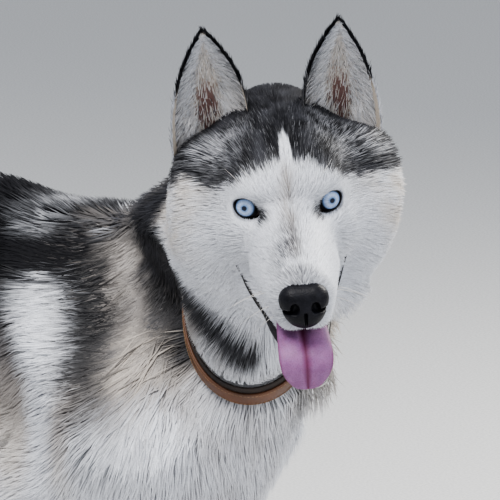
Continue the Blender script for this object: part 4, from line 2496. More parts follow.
class Dresser:
    """Grows the coat over the trunk, the head and the feet.

    Attributes:
        finer_from: Where, going ahead, the trunk's coat turns from coarse to fine.
        bridge: Where, going ahead in the head's frame, its coat turns finest.
    """

    finer_from = (-130, -20)
    bridge = (20, 70)

    def __init__(self, hide: Hide, groomer: Groomer, coat: Coat) -> None:
        """Keeps what is dressed and what dresses it.

        Args:
            hide: The skins.
            groomer: Grows the tufts.
            coat: Makes their pieces.
        """
        self.hide, self.groomer, self.coat = hide, groomer, coat

    def build(self) -> None:
        """Dresses all skins, one after another."""
        self.dress_trunk()
        self.dress_head()
        self.dress_paws()

    def trunk_density(self, p: Array, shares: Array) -> Array:
        """Tufts to a square millimetre of the trunk, the legs and the tail, more from the shoulders on.

        Args:
            p: Places in the dog's frame.
            shares: Their shares of the regions.

        Returns:
            One number to each place.
        """
        seen = smooth(p[:, 0], *self.finer_from) * (1 - share_of(shares, Region.HIND, Region.TAIL))
        dense = mix(0.054, 0.2, seen)
        dense = mix(dense, 0.14, share_of(shares, Region.FORE, Region.PAW))
        dense = mix(dense, 0.10, share_of(shares, Region.TAIL))
        return mix(dense, 0.24, share_of(shares, Region.NECK) * smooth(p[:, 0], 20, 90))

    def dress_trunk(self) -> None:
        """Dresses neck, trunk, legs and tail."""
        trunk = self.hide.trunk
        p, shares = self.groomer.scatter(trunk, self.trunk_density)
        coarse = mix(2.2, 1.0, smooth(p[:, 0], *self.finer_from))
        coarse = np.where(share_of(shares, Region.FORE, Region.PAW) > 0.5, 1.0, coarse)
        tufts = self.groomer.grow(self.groomer.roots(p, shares, coarse), trunk.form, 3)
        for name, (pick, how, middle) in self.layout(p, shares).items():
            self.coat.dress(f"coat_{name}", tufts.some(pick), how, middle, 0.92)

    @staticmethod
    def layout(p: Array, shares: Array) -> dict[str, tuple[Array, Unwrap, Array]]:
        """Which tufts of the trunk's skin make which piece.

        Args:
            p: The tufts' roots.
            shares: Their shares of the regions.

        Returns:
            The picked tufts, the unwrap and a point on its axis, by the end of the piece's name.
        """
        kind = np.argmax(shares, axis=1)
        layout = {
            "tail": (kind == Region.TAIL.value, Unwrap.AHEAD, vec(-400, 5, 620)),
            "trunk": (kind == Region.TRUNK.value, Unwrap.AHEAD, vec(0, 0, 430)),
            "neck": (np.isin(kind, [Region.NECK.value, Region.HEAD.value]), Unwrap.NECK, COLLAR.middle),
        }
        for flank in Flank:
            side = p[:, 1] * flank.value > 0
            fore = np.isin(kind, [Region.FORE.value, Region.PAW.value]) & (p[:, 0] > -150)
            hind = np.isin(kind, [Region.HIND.value, Region.PAW.value]) & (p[:, 0] <= -150)
            name = flank.name.lower()
            layout[f"fore_{name}"] = (side & fore, Unwrap.LEG, vec(0, flank.value * 68, 0))
            layout[f"hind_{name}"] = (side & hind, Unwrap.LEG, vec(-360, flank.value * 66, 0))
        return layout

    @staticmethod
    def head_density(p: Array, shares: Array) -> Array:
        """Tufts to a square millimetre of the head, none on lids, lips and nose.

        Args:
            p: Places in the dog's frame.
            shares: Their shares of the regions, which this doesn't need.

        Returns:
            One number to each place.
        """
        h = to_head(p)
        eyes = np.where(Face.from_eyes(h) < Face.socket, smooth(Face.lids(h), 0.8, 1.6), 1.0)
        lip = np.where(h[:, 0] > 8, smooth(Face.mouth_level(h), 2.0, 4.0), 1.0)
        nose = smooth(np.linalg.norm(h - Face.nose_middle, axis=1), 13, 15)
        return mix(1.05, 0.42, Face.ruff(h)) * eyes * lip * nose * smooth(h[:, 0], -150, -60)

    @staticmethod
    def off_features(roots: Roots) -> Array:
        """Tells which tufts of the head stay clear of eyes, mouth, nose and the lips' line.

        Args:
            roots: The roots.

        Returns:
            True for each of those.
        """
        keep = np.ones(len(roots.at), dtype=bool)
        for part in (0.35, 0.7, 1.0):
            on = to_head(roots.at + roots.lie * (roots.long * part)[:, None])
            keep &= (Face.from_eyes(on) > 26) | (Face.lids(on) > 1.2)
            keep &= (on[:, 0] < 6) | (Face.mouth_level(on) > 1.0)
            keep &= np.linalg.norm(on - Face.nose_middle, axis=1) > 12.5
            keep &= off_line(Face.folded(on), np.array(Face.lip_line, dtype=np.float64)) > 2.2
        return keep

    def dress_head(self) -> None:
        """Dresses the head, finer round the eyes and on the muzzle."""
        form = self.hide.head.form
        p, shares = self.groomer.scatter(self.hide.head, self.head_density)
        roots = self.groomer.roots(p, shares)
        roots = roots.some(self.off_features(roots))
        h = to_head(roots.at)
        eyes = Face.from_eyes(h)
        fine = mix(0.55, 1.0, smooth(eyes, 14, 40)) * mix(1.0, 0.6, smooth(h[:, 0], *self.bridge))
        roots.long = roots.long * fine
        roots.wide = roots.wide * mix(0.8, 1.0, smooth(eyes, 14, 40))
        roots.stand = roots.stand * fine
        long = roots.long > 16
        for name, pick, rings, shade in (("face", ~long, 2, 0.85), ("ruff", long, 3, 0.65)):
            tufts = self.groomer.grow(roots.some(pick), form, rings, 10.0)
            self.coat.dress(f"coat_{name}", tufts, Unwrap.HEAD, vec(0, 0, 0), shade)

    def dress_paws(self) -> None:
        """Dresses the four feet above their soles."""
        for (name, heel, _), skin in zip(paw_heels(), self.hide.paws):
            p, shares = self.groomer.scatter(skin, lambda q, s: np.full(len(q), 0.35))
            above = p[:, 2] > 7
            tufts = self.groomer.grow(self.groomer.roots(p[above], shares[above]), skin.form, 2, 6.0)
            self.coat.dress(f"coat_paw_{name}", tufts, Unwrap.LEG, heel, 0.8)


def sheet_faces(rows: int, columns: int, closed: bool = False, looped: bool = False) -> Array:
    """Faces of a grid of points.

    Args:
        rows: Rows of points.
        columns: Points to a row.
        closed: True if each row closes in a ring.
        looped: True if the last row meets the first.

    Returns:
        Faces of four.
    """
    faces = []
    for i in range(rows if looped else rows - 1):
        this, after = i * columns, (i + 1) % rows * columns
        for j in range(columns if closed else columns - 1):
            k = (j + 1) % columns
            faces.append((this + j, this + k, after + k, after + j))
    return np.array(faces)


def tube(points: Array, radii: Array, sides: int = 8, closed: bool = False) -> tuple[Array, Array]:
    """A round tube along points.

    Args:
        points: The middle line.
        radii: The radius at each point.
        sides: Points round it.
        closed: True if the line closes in a ring.

    Returns:
        Points and faces.
    """
    if closed:
        run = unit(np.roll(points, -1, axis=0) - np.roll(points, 1, axis=0))
    else:
        run = unit(np.gradient(points, axis=0))
    side = unit(np.cross(run, np.array([0.31, 0.17, 0.93])))
    lift = np.cross(run, side)
    angle = ring_angles(sides)
    rings = (points[:, None] + (side[:, None] * np.cos(angle)[None, :, None]
                                + lift[:, None] * np.sin(angle)[None, :, None]) * radii[:, None, None])
    return rings.reshape(-1, 3), sheet_faces(len(points), sides, True, closed)


def joined(parts: Sequence[tuple[Array, Array]]) -> tuple[Array, Array]:
    """Several meshes as one.

    Args:
        parts: Points and faces of each.

    Returns:
        Points and faces.
    """
    starts = np.cumsum([0] + [len(p) for p, _ in parts])
    return np.vstack([p for p, _ in parts]), np.vstack([f + s for (_, f), s in zip(parts, starts)])


def faced_out(obj: bpy.types.Object) -> bpy.types.Object:
    """Turns a mesh's faces outward and closes its open ends.

    Args:
        obj: The object.

    Returns:
        The object.
    """
    mesh = bmesh.new()
    mesh.from_mesh(obj.data)
    bmesh.ops.holes_fill(mesh, edges=[e for e in mesh.edges if e.is_boundary], sides=0)
    bmesh.ops.recalc_face_normals(mesh, faces=mesh.faces)
    mesh.to_mesh(obj.data)
    mesh.free()
    return obj


@dataclass(frozen=True)
class EarSizes:
    """The left ear's outline in the head's frame: its tip, and the base and the bend of either edge."""

    tip: tuple[float, float, float] = (-61, 50, 118)
    inner: tuple[tuple[float, float, float], ...] = ((-55, 21, 54), (-54, 23, 92))
    outer: tuple[tuple[float, float, float], ...] = ((-66, 77, 22), (-64, 80, 76))
    depth: float = 26.0
    wall: float = 3.0


@dataclass
class EarHair:
    """One kind of hair of an ear, in the head's frame.

    Attributes:
        name: The kind's name.
        at: Roots.
        way: The way each grows.
        out: The skin's normal at each.
        long: Lengths.
        wide: The width of all.
        tone: Colours.
        bend: How far the ends bend out, as a share of the length.
    """

    name: str
    at: Array
    way: Array
    out: Array
    long: Array
    wide: float
    tone: Array
    bend: float


class Ears:
    """Two upright cupped ears with furred backs, dark rims and long hair inside."""

    def __init__(self, coat: Coat, sizes: EarSizes = EarSizes()) -> None:
        """Keeps the coat maker.

        Args:
            coat: Makes the tufts' pieces.
            sizes: The ears' sizes.
        """
        self.coat, self.sizes = coat, sizes
        self.random = np.random.default_rng(SEED + 5)

    def edge(self, line: tuple[tuple[float, float, float], ...], t: Array) -> Array:
        """Points of one edge.

        Args:
            line: Its base and its bend.
            t: 0 at the base, 1 at the tip.

        Returns:
            One point to a row.
        """
        a, b, c = np.array(line[0]), np.array(line[1]), np.array(self.sizes.tip)
        t = t[:, None]
        return a * (1 - t) ** 2 + 2 * b * t * (1 - t) + c * t * t

    def surface(self, t: Array, s: Array, back: float) -> Array:
        """Points of the ear, in the left ear's frame.

        Args:
            t: 0 at the base, 1 at the tip.
            s: -1 at the inner edge, 1 at the outer.
            back: 0 for the hollow side, 1 for the back.

        Returns:
            One point to a row.
        """
        inner, outer = self.edge(self.sizes.inner, t), self.edge(self.sizes.outer, t)
        middle, half = (inner + outer) / 2, (outer - inner) / 2
        width = np.linalg.norm(half, axis=1, keepdims=True)
        away = vec(-1, 0, -0.12)
        normal = unit(away - half * (half @ away)[:, None] / np.maximum(width**2, 1e-6))
        depth = self.sizes.depth * (1 - 0.62 * t) * width[:, 0] / 32
        bow = np.sqrt(np.maximum(0, 1 - np.abs(s) ** 2.2))
        thick = self.sizes.wall * back * np.sqrt(np.maximum(0, 1 - s**2)) * (1 - 0.5 * t)
        return middle + half * s[:, None] + normal * (depth * bow + thick)[:, None]

    def build(self, side: int, finishes: Finishes) -> bpy.types.Object:
        """One ear's skin.

        Args:
            side: 1 for the left ear, -1 for the right.
            finishes: The finishes.

        Returns:
            The ear.
        """
        rows, columns = 30, 22
        t, s = np.meshgrid(np.linspace(-0.16, 0.955, rows), np.linspace(-1, 1, columns), indexing="ij")
        t, s = t.ravel(), s.ravel()
        front, rear = self.surface(t, s, 0.0), self.surface(t, s, 1.0)
        points = np.vstack([front, rear]) * np.array([1, side, 1])
        faces = sheet_faces(rows, columns)
        both = np.vstack([faces, faces[:, ::-1] + rows * columns])
        name = "ear_left" if side > 0 else "ear_right"
        obj = mesh_of(f"{name}_skin", on_head(points), both if side > 0 else both[:, ::-1])
        hollow = np.concatenate([np.ones(len(t)), np.zeros(len(t))])
        tt, ss = np.tile(t, 2), np.tile(s, 2)
        high = np.where(ss > 0, smooth(tt, 0.36, 0.52), smooth(tt, 0.2, 0.36))
        rim = np.maximum(smooth(np.abs(ss), 0.78, 0.9) * high, smooth(tt, 0.8, 0.88))
        patch = np.exp(-(((ss - 0.14) / 0.42) ** 2)) * np.exp(-(((tt - 0.22) / np.where(tt > 0.22, 0.26, 0.5)) ** 2))
        inside = mix(plain(TINTS.cream, tt), TINTS.ear_skin, np.clip(1.3 * patch, 0, 1))
        colour = mix(plain(TINTS.slate, tt), inside, hollow)
        colour_points(obj, "coat", mix(colour, TINTS.dark, rim))
        lie = np.tile(head_axis(vec(0, 0.1 * side, 1)), (len(points), 1))
        vectors_on(obj, "lie", lie)
        numbers_on(obj, "bare", np.zeros(len(points)))
        obj.data.materials.append(finishes.ear)
        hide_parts(name)
        return ride(obj)

    def on_ear(self, side: int, t: Array, s: Array, back: float) -> tuple[Array, Array, Array]:
        """Places on an ear, in the head's frame.

        Args:
            side: 1 for the left ear, -1 for the right.
            t: 0 at the base, 1 at the tip.
            s: -1 at the inner edge, 1 at the outer.
            back: 0 for the hollow side, 1 for the back.

        Returns:
            The places with their normals and their way up the ear.
        """
        e = 0.01
        flip = np.array([1, side, 1])
        p = self.surface(t, s, back)
        up = unit(self.surface(t + e, s, back) - p)
        over = unit(self.surface(t, np.clip(s + e, -1, 1), back) - self.surface(t, np.clip(s - e, -1, 1), back))
        out = unit(np.cross(up, over)) * (1 if back else -1)
        return p * flip, out * flip, up * flip

    @staticmethod
    def hollow(t: Array, s: Array, wide: float) -> Array:
        """How deep in the ear's thinly haired hollow places are.

        Args:
            t: 0 at the base, 1 at the tip.
            s: -1 at the inner edge, 1 at the outer.
            wide: The hollow's width.

        Returns:
            0 to 1 for each place.
        """
        return np.exp(-(((s - 0.14) / wide) ** 2)) * np.exp(-(((t - 0.2) / (0.7 * wide)) ** 2))

    def strewn(self, p: Array, way: Array, amount: float) -> Array:
        """The ways of growth with some disorder.

        Args:
            p: The roots.
            way: The way each grows.
            amount: How much disorder.

        Returns:
            The directions.
        """
        return unit(way + amount * self.random.normal(size=p.shape))

    def back_hair(self, side: int) -> EarHair:
        """Short dark hair of the back.

        Args:
            side: 1 for the left ear, -1 for the right.

        Returns:
            The hair.
        """
        r, n = self.random, 5200
        t, s = 0.96 - 1.1 * r.random(n) ** 0.75, r.uniform(-1, 1, n)
        p, out, up = self.on_ear(side, t, s, 1.0)
        tone = mix(plain(TINTS.dark, t), TINTS.slate, r.random(n))
        tone = mix(tone, TINTS.grey, 0.5 * smooth(-t, -0.35, 0.05) * r.random(n))
        way = self.strewn(p, up + 0.1 * out, 0.1)
        return EarHair("back", p, way, out, (7 + 4 * r.random(n)) * (1 - 0.55 * smooth(t, 0.7, 0.95)), 1.1, tone, 0.1)

    def rim_hair(self, side: int) -> EarHair:
        """Dark hair along both edges, pale low on the outer one.

        Args:
            side: 1 for the left ear, -1 for the right.

        Returns:
            The hair.
        """
        r, n = self.random, 3800
        edge = np.where(r.random(n) < 0.5, -1.0, 1.0)
        t = 0.955 - 1.05 * r.random(n)
        s = edge * (1 - 0.2 * r.random(n) ** 2)
        p, out, up = self.on_ear(side, t, s, 0.0)
        away = np.outer(edge * side, ACROSS)
        tone = mix(plain(TINTS.dark, t), TINTS.slate, 0.5 * r.random(n))
        low = np.where(edge > 0, smooth(-t, -0.52, -0.36), smooth(-t, -0.36, -0.2))
        tone = mix(tone, TINTS.white, smooth(low + 0.5 * (r.random(n) - 0.5), 0.3, 0.6))
        keep = (edge > 0) | (low < 0.5)
        p, out, up, away, tone = (a[keep] for a in (p, out, up, away, tone))
        way = self.strewn(p, up + 0.22 * away + 0.05 * out, 0.12)
        return EarHair("rim", p, way, out, 5 + 4 * r.random(len(p)), 1.0, tone, 0.0)

    def inside_hair(self, side: int) -> EarHair:
        """Long pale hair that leans in from both edges.

        Args:
            side: 1 for the left ear, -1 for the right.

        Returns:
            The hair.
        """
        r, n = self.random, 6400
        t = -0.1 + 0.98 * r.random(n) ** 1.1
        s = np.where(r.random(n) < 0.5, -0.97 + 0.60 * r.random(n) ** 1.3, 0.97 - 0.52 * r.random(n) ** 1.3)
        t, s = self.thinned(t, s, 0.96, 0.56)
        n = len(t)
        p, out, up = self.on_ear(side, t, s, 0.0)
        inward = np.outer(-np.sign(s) * side, ACROSS)
        tone = mix(plain(TINTS.white, t), TINTS.cream, 0.6 * r.random(n) * (1 - np.clip(t, 0, 1)))
        tone = mix(tone, TINTS.slate, np.where(r.random(n) < 0.10, 0.7, 0.0))
        lean = (0.16 + 0.3 * r.random(n))[:, None]
        way = self.strewn(p, up + lean * inward + 0.16 * out, 0.12)
        long = (10 + 8 * r.random(n)) * (1 - 0.5 * np.clip(t, 0, 1)) * (1 - 0.6 * self.hollow(t, s, 0.8))
        return EarHair("inside", p, way, out, long, 0.75, tone, 0.15)

    def down_hair(self, side: int) -> EarHair:
        """Short down in the middle.

        Args:
            side: 1 for the left ear, -1 for the right.

        Returns:
            The hair.
        """
        r, n = self.random, 3600
        t, s = -0.05 + 0.95 * r.random(n), r.uniform(-0.6, 0.6, n)
        t, s = self.thinned(t, s, 0.97, 0.6)
        n = len(t)
        p, out, up = self.on_ear(side, t, s, 0.0)
        tone = mix(plain(TINTS.white, t), TINTS.cream, 0.3 + 0.6 * r.random(n))
        tone = mix(tone, TINTS.grey, np.where(r.random(n) < 0.08, 1.0, 0.0))
        way = self.strewn(p, up + 0.12 * out, 0.12)
        return EarHair("down", p, way, out, (7 + 5 * r.random(n)) * (1 - 0.4 * np.clip(t, 0, 1)), 0.7, tone, 0.1)

    def base_hair(self, side: int) -> EarHair:
        """Long hair at the base, beside the hollow.

        Args:
            side: 1 for the left ear, -1 for the right.

        Returns:
            The hair.
        """
        r, n = self.random, 700
        t, s = -0.12 + 0.22 * r.random(n), r.uniform(-0.8, 0.8, n)
        keep = np.abs(s - 0.14) > 0.42
        t, s = t[keep], s[keep]
        n = len(t)
        p, out, up = self.on_ear(side, t, s, 0.0)
        tone = mix(plain(TINTS.white, t), TINTS.cream, 0.5 * r.random(n))
        way = self.strewn(p, up + 0.25 * out, 0.14)
        return EarHair("base", p, way, out, 15 + 9 * r.random(n), 0.9, tone, 0.15)

    def thinned(self, t: Array, s: Array, most: float, wide: float) -> tuple[Array, Array]:
        """Leaves out most of the roots in the hollow.

        Args:
            t: 0 at the base, 1 at the tip.
            s: -1 at the inner edge, 1 at the outer.
            most: The share left out in the hollow's middle.
            wide: The hollow's width.

        Returns:
            Those t and s that stay.
        """
        keep = self.random.random(len(t)) > most * self.hollow(t, s, wide)
        return t[keep], s[keep]

    def hair(self, side: int) -> None:
        """One ear's tufts.

        Args:
            side: 1 for the left ear, -1 for the right.
        """
        kinds = [self.back_hair(side), self.rim_hair(side), self.inside_hair(side), self.down_hair(side),
                 self.base_hair(side)]
        name = "ear_left" if side > 0 else "ear_right"
        for kind in kinds:
            tufts = blades(on_head(kind.at), head_axis(kind.way), head_axis(kind.out), kind.long,
                           np.full(len(kind.at), kind.wide), kind.tone, 2, kind.bend, self.random)
            self.coat.dress(f"{name}_{kind.name}", tufts, Unwrap.HEAD, vec(0, 0, 0), 0.8)


def blades(at: Array, way: Array, out: Array, long: Array, wide: Array, colour: Array, rings: int, bend: float,
           random: np.random.Generator) -> Tufts:
    """Tufts that stand free of a field.

    Args:
        at: Roots.
        way: The way each grows.
        out: The skin's normal at each.
        long: Lengths.
        wide: Widths.
        colour: Colours.
        rings: Rings of points to a tuft.
        bend: How far the ends bend out, as a share of the length.
        random: Chance.

    Returns:
        The tufts.
    """
    share = np.arange(rings + 1) / rings
    line = (at[:, None] + way[:, None] * (long[:, None] * share)[..., None]
            + out[:, None] * (long[:, None] * share**2 * bend)[..., None])
    side = unit(np.cross(way, out + 0.4 * random.normal(size=at.shape)))
    up = np.cross(side, way)
    taper = np.linspace(1.0, 0.6, rings)
    half = (wide / 2)[:, None] * taper[None]
    rows = tuft_rings(line[:, :rings], side[:, None], up[:, None], half, 0.6)
    spread = np.repeat(unit(out + 0.3 * way)[:, None], rings + 1, axis=1)
    normals = soft_normals(spread, np.repeat(side[:, None], rings + 1, axis=1), rings)
    shade = 0.74 + 0.42 * random.random(len(at))
    colour = np.repeat(colour[:, None], rings + 1, axis=1)
    return Tufts(rows, line[:, rings], at, colour, shade, normals)


class Eyes:
    """Eyeballs with dark lid rims and dark inner corners."""

    def build(self, side: int, finishes: Finishes) -> None:
        """One eye.

        Args:
            side: 1 for the left eye, -1 for the right.
            finishes: The finishes.
        """
        name = "left" if side > 0 else "right"
        self.ball(side, name, finishes)
        self.rim(side, name, finishes)

    @staticmethod
    def ball(side: int, name: str, finishes: Finishes) -> None:
        """The eyeball, with a slightly raised cornea.

        Args:
            side: 1 for the left eye, -1 for the right.
            name: The side's name.
            finishes: The finishes.
        """
        axis, _, _ = Face.eye_frame(side)
        rows, columns = 56, 56
        angle = np.linspace(0.0, math.pi * 0.62, rows)
        a, b = np.meshgrid(angle, ring_angles(columns), indexing="ij")
        swell = 1 + 0.045 * smooth(-a, -0.72, -0.45)
        local = np.stack([np.cos(a), np.sin(a) * np.cos(b), np.sin(a) * np.sin(b)], axis=-1).reshape(-1, 3)
        axes = np.stack([axis, unit(np.cross(axis, UP) * -1), UP])
        points = on_head(Face.eye_middle(side) + (local * swell.reshape(-1, 1) * SIZES.eye_radius) @ axes)
        obj = mesh_of(f"eyeball_{name}", points, sheet_faces(rows, columns, True))
        vectors_on(obj, "eye_at", local)
        obj.data.materials.append(finishes.iris)
        faced_out(obj)
        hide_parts(f"eye_{name}")
        ride(obj)

    @staticmethod
    def rim(side: int, name: str, finishes: Finishes) -> None:
        """The dark rim of the lids and the eye's inner corner.

        Args:
            side: 1 for the left eye, -1 for the right.
            name: The side's name.
            finishes: The finishes.
        """
        middle = Face.eye_middle(side)
        axis, wide, high = Face.eye_frame(side)
        turn = ring_angles(72)
        c, s = np.cos(turn), np.sin(turn)
        v = signed_power(s, 1.14)
        flat = wide * (c * Face.lid_wide - Face.lid_in)[:, None] + high * (v * Face.lid_high)[:, None]
        reach = np.sqrt(np.maximum((SIZES.eye_radius + 0.5) ** 2 - (flat**2).sum(axis=1), 4.0))
        line = middle + flat + axis * reach[:, None]
        radii = 1.35 + 0.4 * smooth(s, 0.0, 0.8)
        corner = middle - wide * (Face.lid_wide + Face.lid_in) + axis * 7.2
        duct = corner + np.linspace(0, 1, 8)[:, None] * (vec(15.5, 20.2 * side, -5.6) - corner)
        parts = [tube(on_head(line), radii, 10, True), tube(on_head(duct), np.linspace(1.9, 0.5, 8), 8)]
        rim = mesh_of(f"lid_rim_{name}", *joined(parts))
        rim.data.materials.append(finishes.lid)
        ride(faced_out(rim))


class Nose:
    """The nose leather."""

    def build(self, skin: Skin, finishes: Finishes) -> bpy.types.Object:
        """Makes it.

        Args:
            skin: Its surface.
            finishes: The finishes.

        Returns:
            The nose.
        """
        obj = mesh_of("nose_leather", skin.points, skin.faces)
        smoothing = obj.modifiers.new("even", "SMOOTH")
        smoothing.iterations = 3
        smoothing.factor = 0.5
        obj.data.materials.append(finishes.nose)
        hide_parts("nose")
        return ride(obj)


class Tongue:
    """The tongue that hangs over the lower lip."""

    path = [(14, -49, 24, 7), (20, -51, 26, 7), (48, -62, 33, 7), (72, -73.5, 37, 7), (84.5, -79.5, 38.5, 6.5),
            (91.5, -86, 39, 6), (93, -93.5, 37, 5.5), (91.5, -100.5, 31.5, 5), (90, -106.5, 22, 4)]
    aside = -1.0
    rows = 44
    columns = 40

    def build(self, finishes: Finishes) -> bpy.types.Object:
        """Makes it as one closed loft with a groove down the middle.

        Args:
            finishes: The finishes.

        Returns:
            The tongue.
        """
        keys = np.array(self.path, dtype=np.float64)
        line = curve_through(np.stack([keys[:, 0], np.full(len(keys), self.aside), keys[:, 1]], axis=1), self.rows)
        run = np.concatenate([[0], np.cumsum(np.linalg.norm(np.diff(keys[:, :2], axis=0), axis=1))])
        t = np.linspace(0, run[-1], self.rows)
        wide, thick = (np.interp(t, run, keys[:, i]) for i in (2, 3))
        along = unit(np.gradient(line, axis=0))
        up = np.cross(along, vec(0, 1, 0))
        up = -up if up[0, 2] < 0 else up
        rings = []
        angle = ring_angles(self.columns)
        c, s = np.cos(angle), np.sin(angle)
        for i in range(self.rows):
            y = signed_power(c, 0.85) * wide[i] / 2
            h = signed_power(s, 0.8) * thick[i] / 2
            h = h - 2.3 * np.exp(-(y / 1.5) ** 2) * (s > 0) - 0.05 * np.abs(y) * np.abs(y) / wide[i] * 2
            h = h + 0.8 * math.sin(0.11 * t[i]) * (y / wide[i])
            rings.append(line[i] + np.outer(y, vec(0, 1, 0)) + np.outer(h, up[i]))
        last = rings[-1]
        for share in (0.75, 0.4, 0.05):
            step = along[-1] * 3.4 * (1 - share**2) ** 0.5
            notch = 1.1 * np.exp(-((last[:, 1] - self.aside) / 3.0) ** 2)
            rings.append(line[-1] + (last - line[-1]) * share + step - np.outer(notch * (1 - share), along[-1]))
        points = on_head(np.vstack(rings))
        obj = faced_out(mesh_of("tongue_flesh", points, sheet_faces(len(rings), self.columns, True)))
        mark = []
        for ring in rings:
            off = ring[:, 1] - self.aside
            half = np.abs(off).max()
            y = off / max(half, 1e-3)
            mark.append(np.maximum(np.exp(-((y * half / 0.8) ** 2)), 0.5 * smooth(np.abs(y), 0.88, 1.0)))
        numbers_on(obj, "mark", np.concatenate(mark))
        obj.data.materials.append(finishes.tongue)
        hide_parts("tongue")
        return ride(obj)


class Collar:
    """A leather strap over a dark lining, with edge stitching, a buckle and a ring."""

    steps = 200
    stitches = 150
    buckle_at = 1.35
    ring_at = 0.85

    def band(self, low: float, high: float, inside: float, thick: float) -> tuple[Array, Array]:
        """A band round the neck with rounded edges.

        Args:
            low: Lower edge along the neck, from the strap's middle.
            high: Upper edge.
            inside: Start of its thickness, from the strap's inner line.
            thick: Its thickness.

        Returns:
            Points and faces.
        """
        line = COLLAR.point(ring_angles(self.steps))
        run = unit(np.roll(line, -1, axis=0) - np.roll(line, 1, axis=0))
        out = unit(np.cross(run, COLLAR.axis))
        out = np.where(((line - COLLAR.middle) * out).sum(axis=1, keepdims=True) < 0, -out, out)
        r = min(thick / 2, 1.3) * 0.9
        profile = []
        corners = ((high - r, thick - r, 0), (low + r, thick - r, 90), (low + r, r, 180), (high - r, r, 270))
        for cx, cy, start in corners:
            for a in (0, 30, 60, 90):
                q = math.radians(start + a)
                profile.append((cx + r * math.cos(q), cy + r * math.sin(q)))
        rings = np.stack([line + COLLAR.axis * w + out * (inside + h) for w, h in profile], axis=1)
        return rings.reshape(-1, 3), sheet_faces(self.steps, len(profile), True, True)

    def frame_at(self, angle: float) -> tuple[Array, Array, Array]:
        """Middle, outward way and way along the strap at an angle.

        Args:
            angle: Radians from the throat.

        Returns:
            A point and two directions.
        """
        p = COLLAR.point(np.array([angle - 0.01, angle, angle + 0.01]))
        run = unit(p[2] - p[0])
        out = unit(np.cross(run, COLLAR.axis))
        return p[1], out if out @ (p[1] - COLLAR.middle) > 0 else -out, run

    def build(self, finishes: Finishes) -> None:
        """Makes the strap and its metal.

        Args:
            finishes: The finishes.
        """
        half, thick = SIZES.strap_wide / 2, SIZES.strap_thick
        lining = faced_out(mesh_of("strap_lining", *self.band(-half + 0.8, half, 0.0, 1.9)))
        lining.data.materials.append(finishes.lining)
        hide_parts("collar_strap")
        ride(lining)
        strap = faced_out(mesh_of("strap_leather", *self.band(-half, half - 6.5, 1.7, thick - 1.7)))
        strap.data.materials.append(finishes.leather)
        ride(strap)
        parts = []
        for w in (-half + 2.0, half - 8.5):
            for a in ring_angles(self.stitches):
                p, out, run = self.frame_at(a)
                c = p + COLLAR.axis * w + out * (thick + 0.05)
                parts.append(tube(np.stack([c - run * 1.2, c, c + run * 1.2]), np.array([0.12, 0.34, 0.12]), 5))
        stitches = mesh_of("strap_stitches", *joined(parts))
        stitches.data.materials.append(finishes.thread)
        ride(faced_out(stitches))
        self.buckle(finishes)
        self.ring(finishes)

    def buckle(self, finishes: Finishes) -> None:
        """Makes the buckle with its prong and bar.

        Args:
            finishes: The finishes.
        """
        p, out, run = self.frame_at(self.buckle_at)
        centre = p + out * (SIZES.strap_thick + 1.6)
        corners = []
        for i in range(40):
            a = i / 40 * 2 * math.pi
            c, s = math.cos(a), math.sin(a)
            u = math.copysign(abs(c) ** 0.4, c) * 12
            v = math.copysign(abs(s) ** 0.4, s) * 15
            bow = -(u * u) / 150
            corners.append(centre + run * u + COLLAR.axis * v + out * bow)
        rim = tube(np.array(corners), np.full(40, 1.9), 10, True)
        prong = tube(np.stack([centre - run * 11 + out * 1, centre + out * 1.6, centre + run * 12.5 + out * 1.5]),
                     np.array([1.3, 1.25, 1.0]), 8)
        bar = tube(np.stack([centre - run * 11 - COLLAR.axis * 14, centre - run * 11 + COLLAR.axis * 14]),
                   np.array([1.5, 1.5]), 8)
        buckle = mesh_of("buckle", *joined([rim, prong, bar]))
        buckle.data.materials.append(finishes.metal)
        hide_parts("collar_buckle")
        ride(faced_out(buckle))

    def ring(self, finishes: Finishes) -> None:
        """Makes the ring, where the solids have it.

        Args:
            finishes: The finishes.
        """
        p, out, run = self.frame_at(self.ring_at)
        low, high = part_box("collar_ring")
        middle = (np.array(low) + np.array(high)) / 2 * 1000 - SHIFT
        angle = ring_angles(48)
        hang = unit(middle - (p + out * SIZES.strap_thick))
        side = unit(np.cross(hang, run))
        line = middle + np.outer(np.cos(angle) * 11, hang) + np.outer(np.sin(angle) * 11, unit(np.cross(side, hang)))
        ring = mesh_of("ring", *tube(line, np.full(48, 1.9), 12, True))
        ring.data.materials.append(finishes.metal)
        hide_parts("collar_ring")
        ride(faced_out(ring))


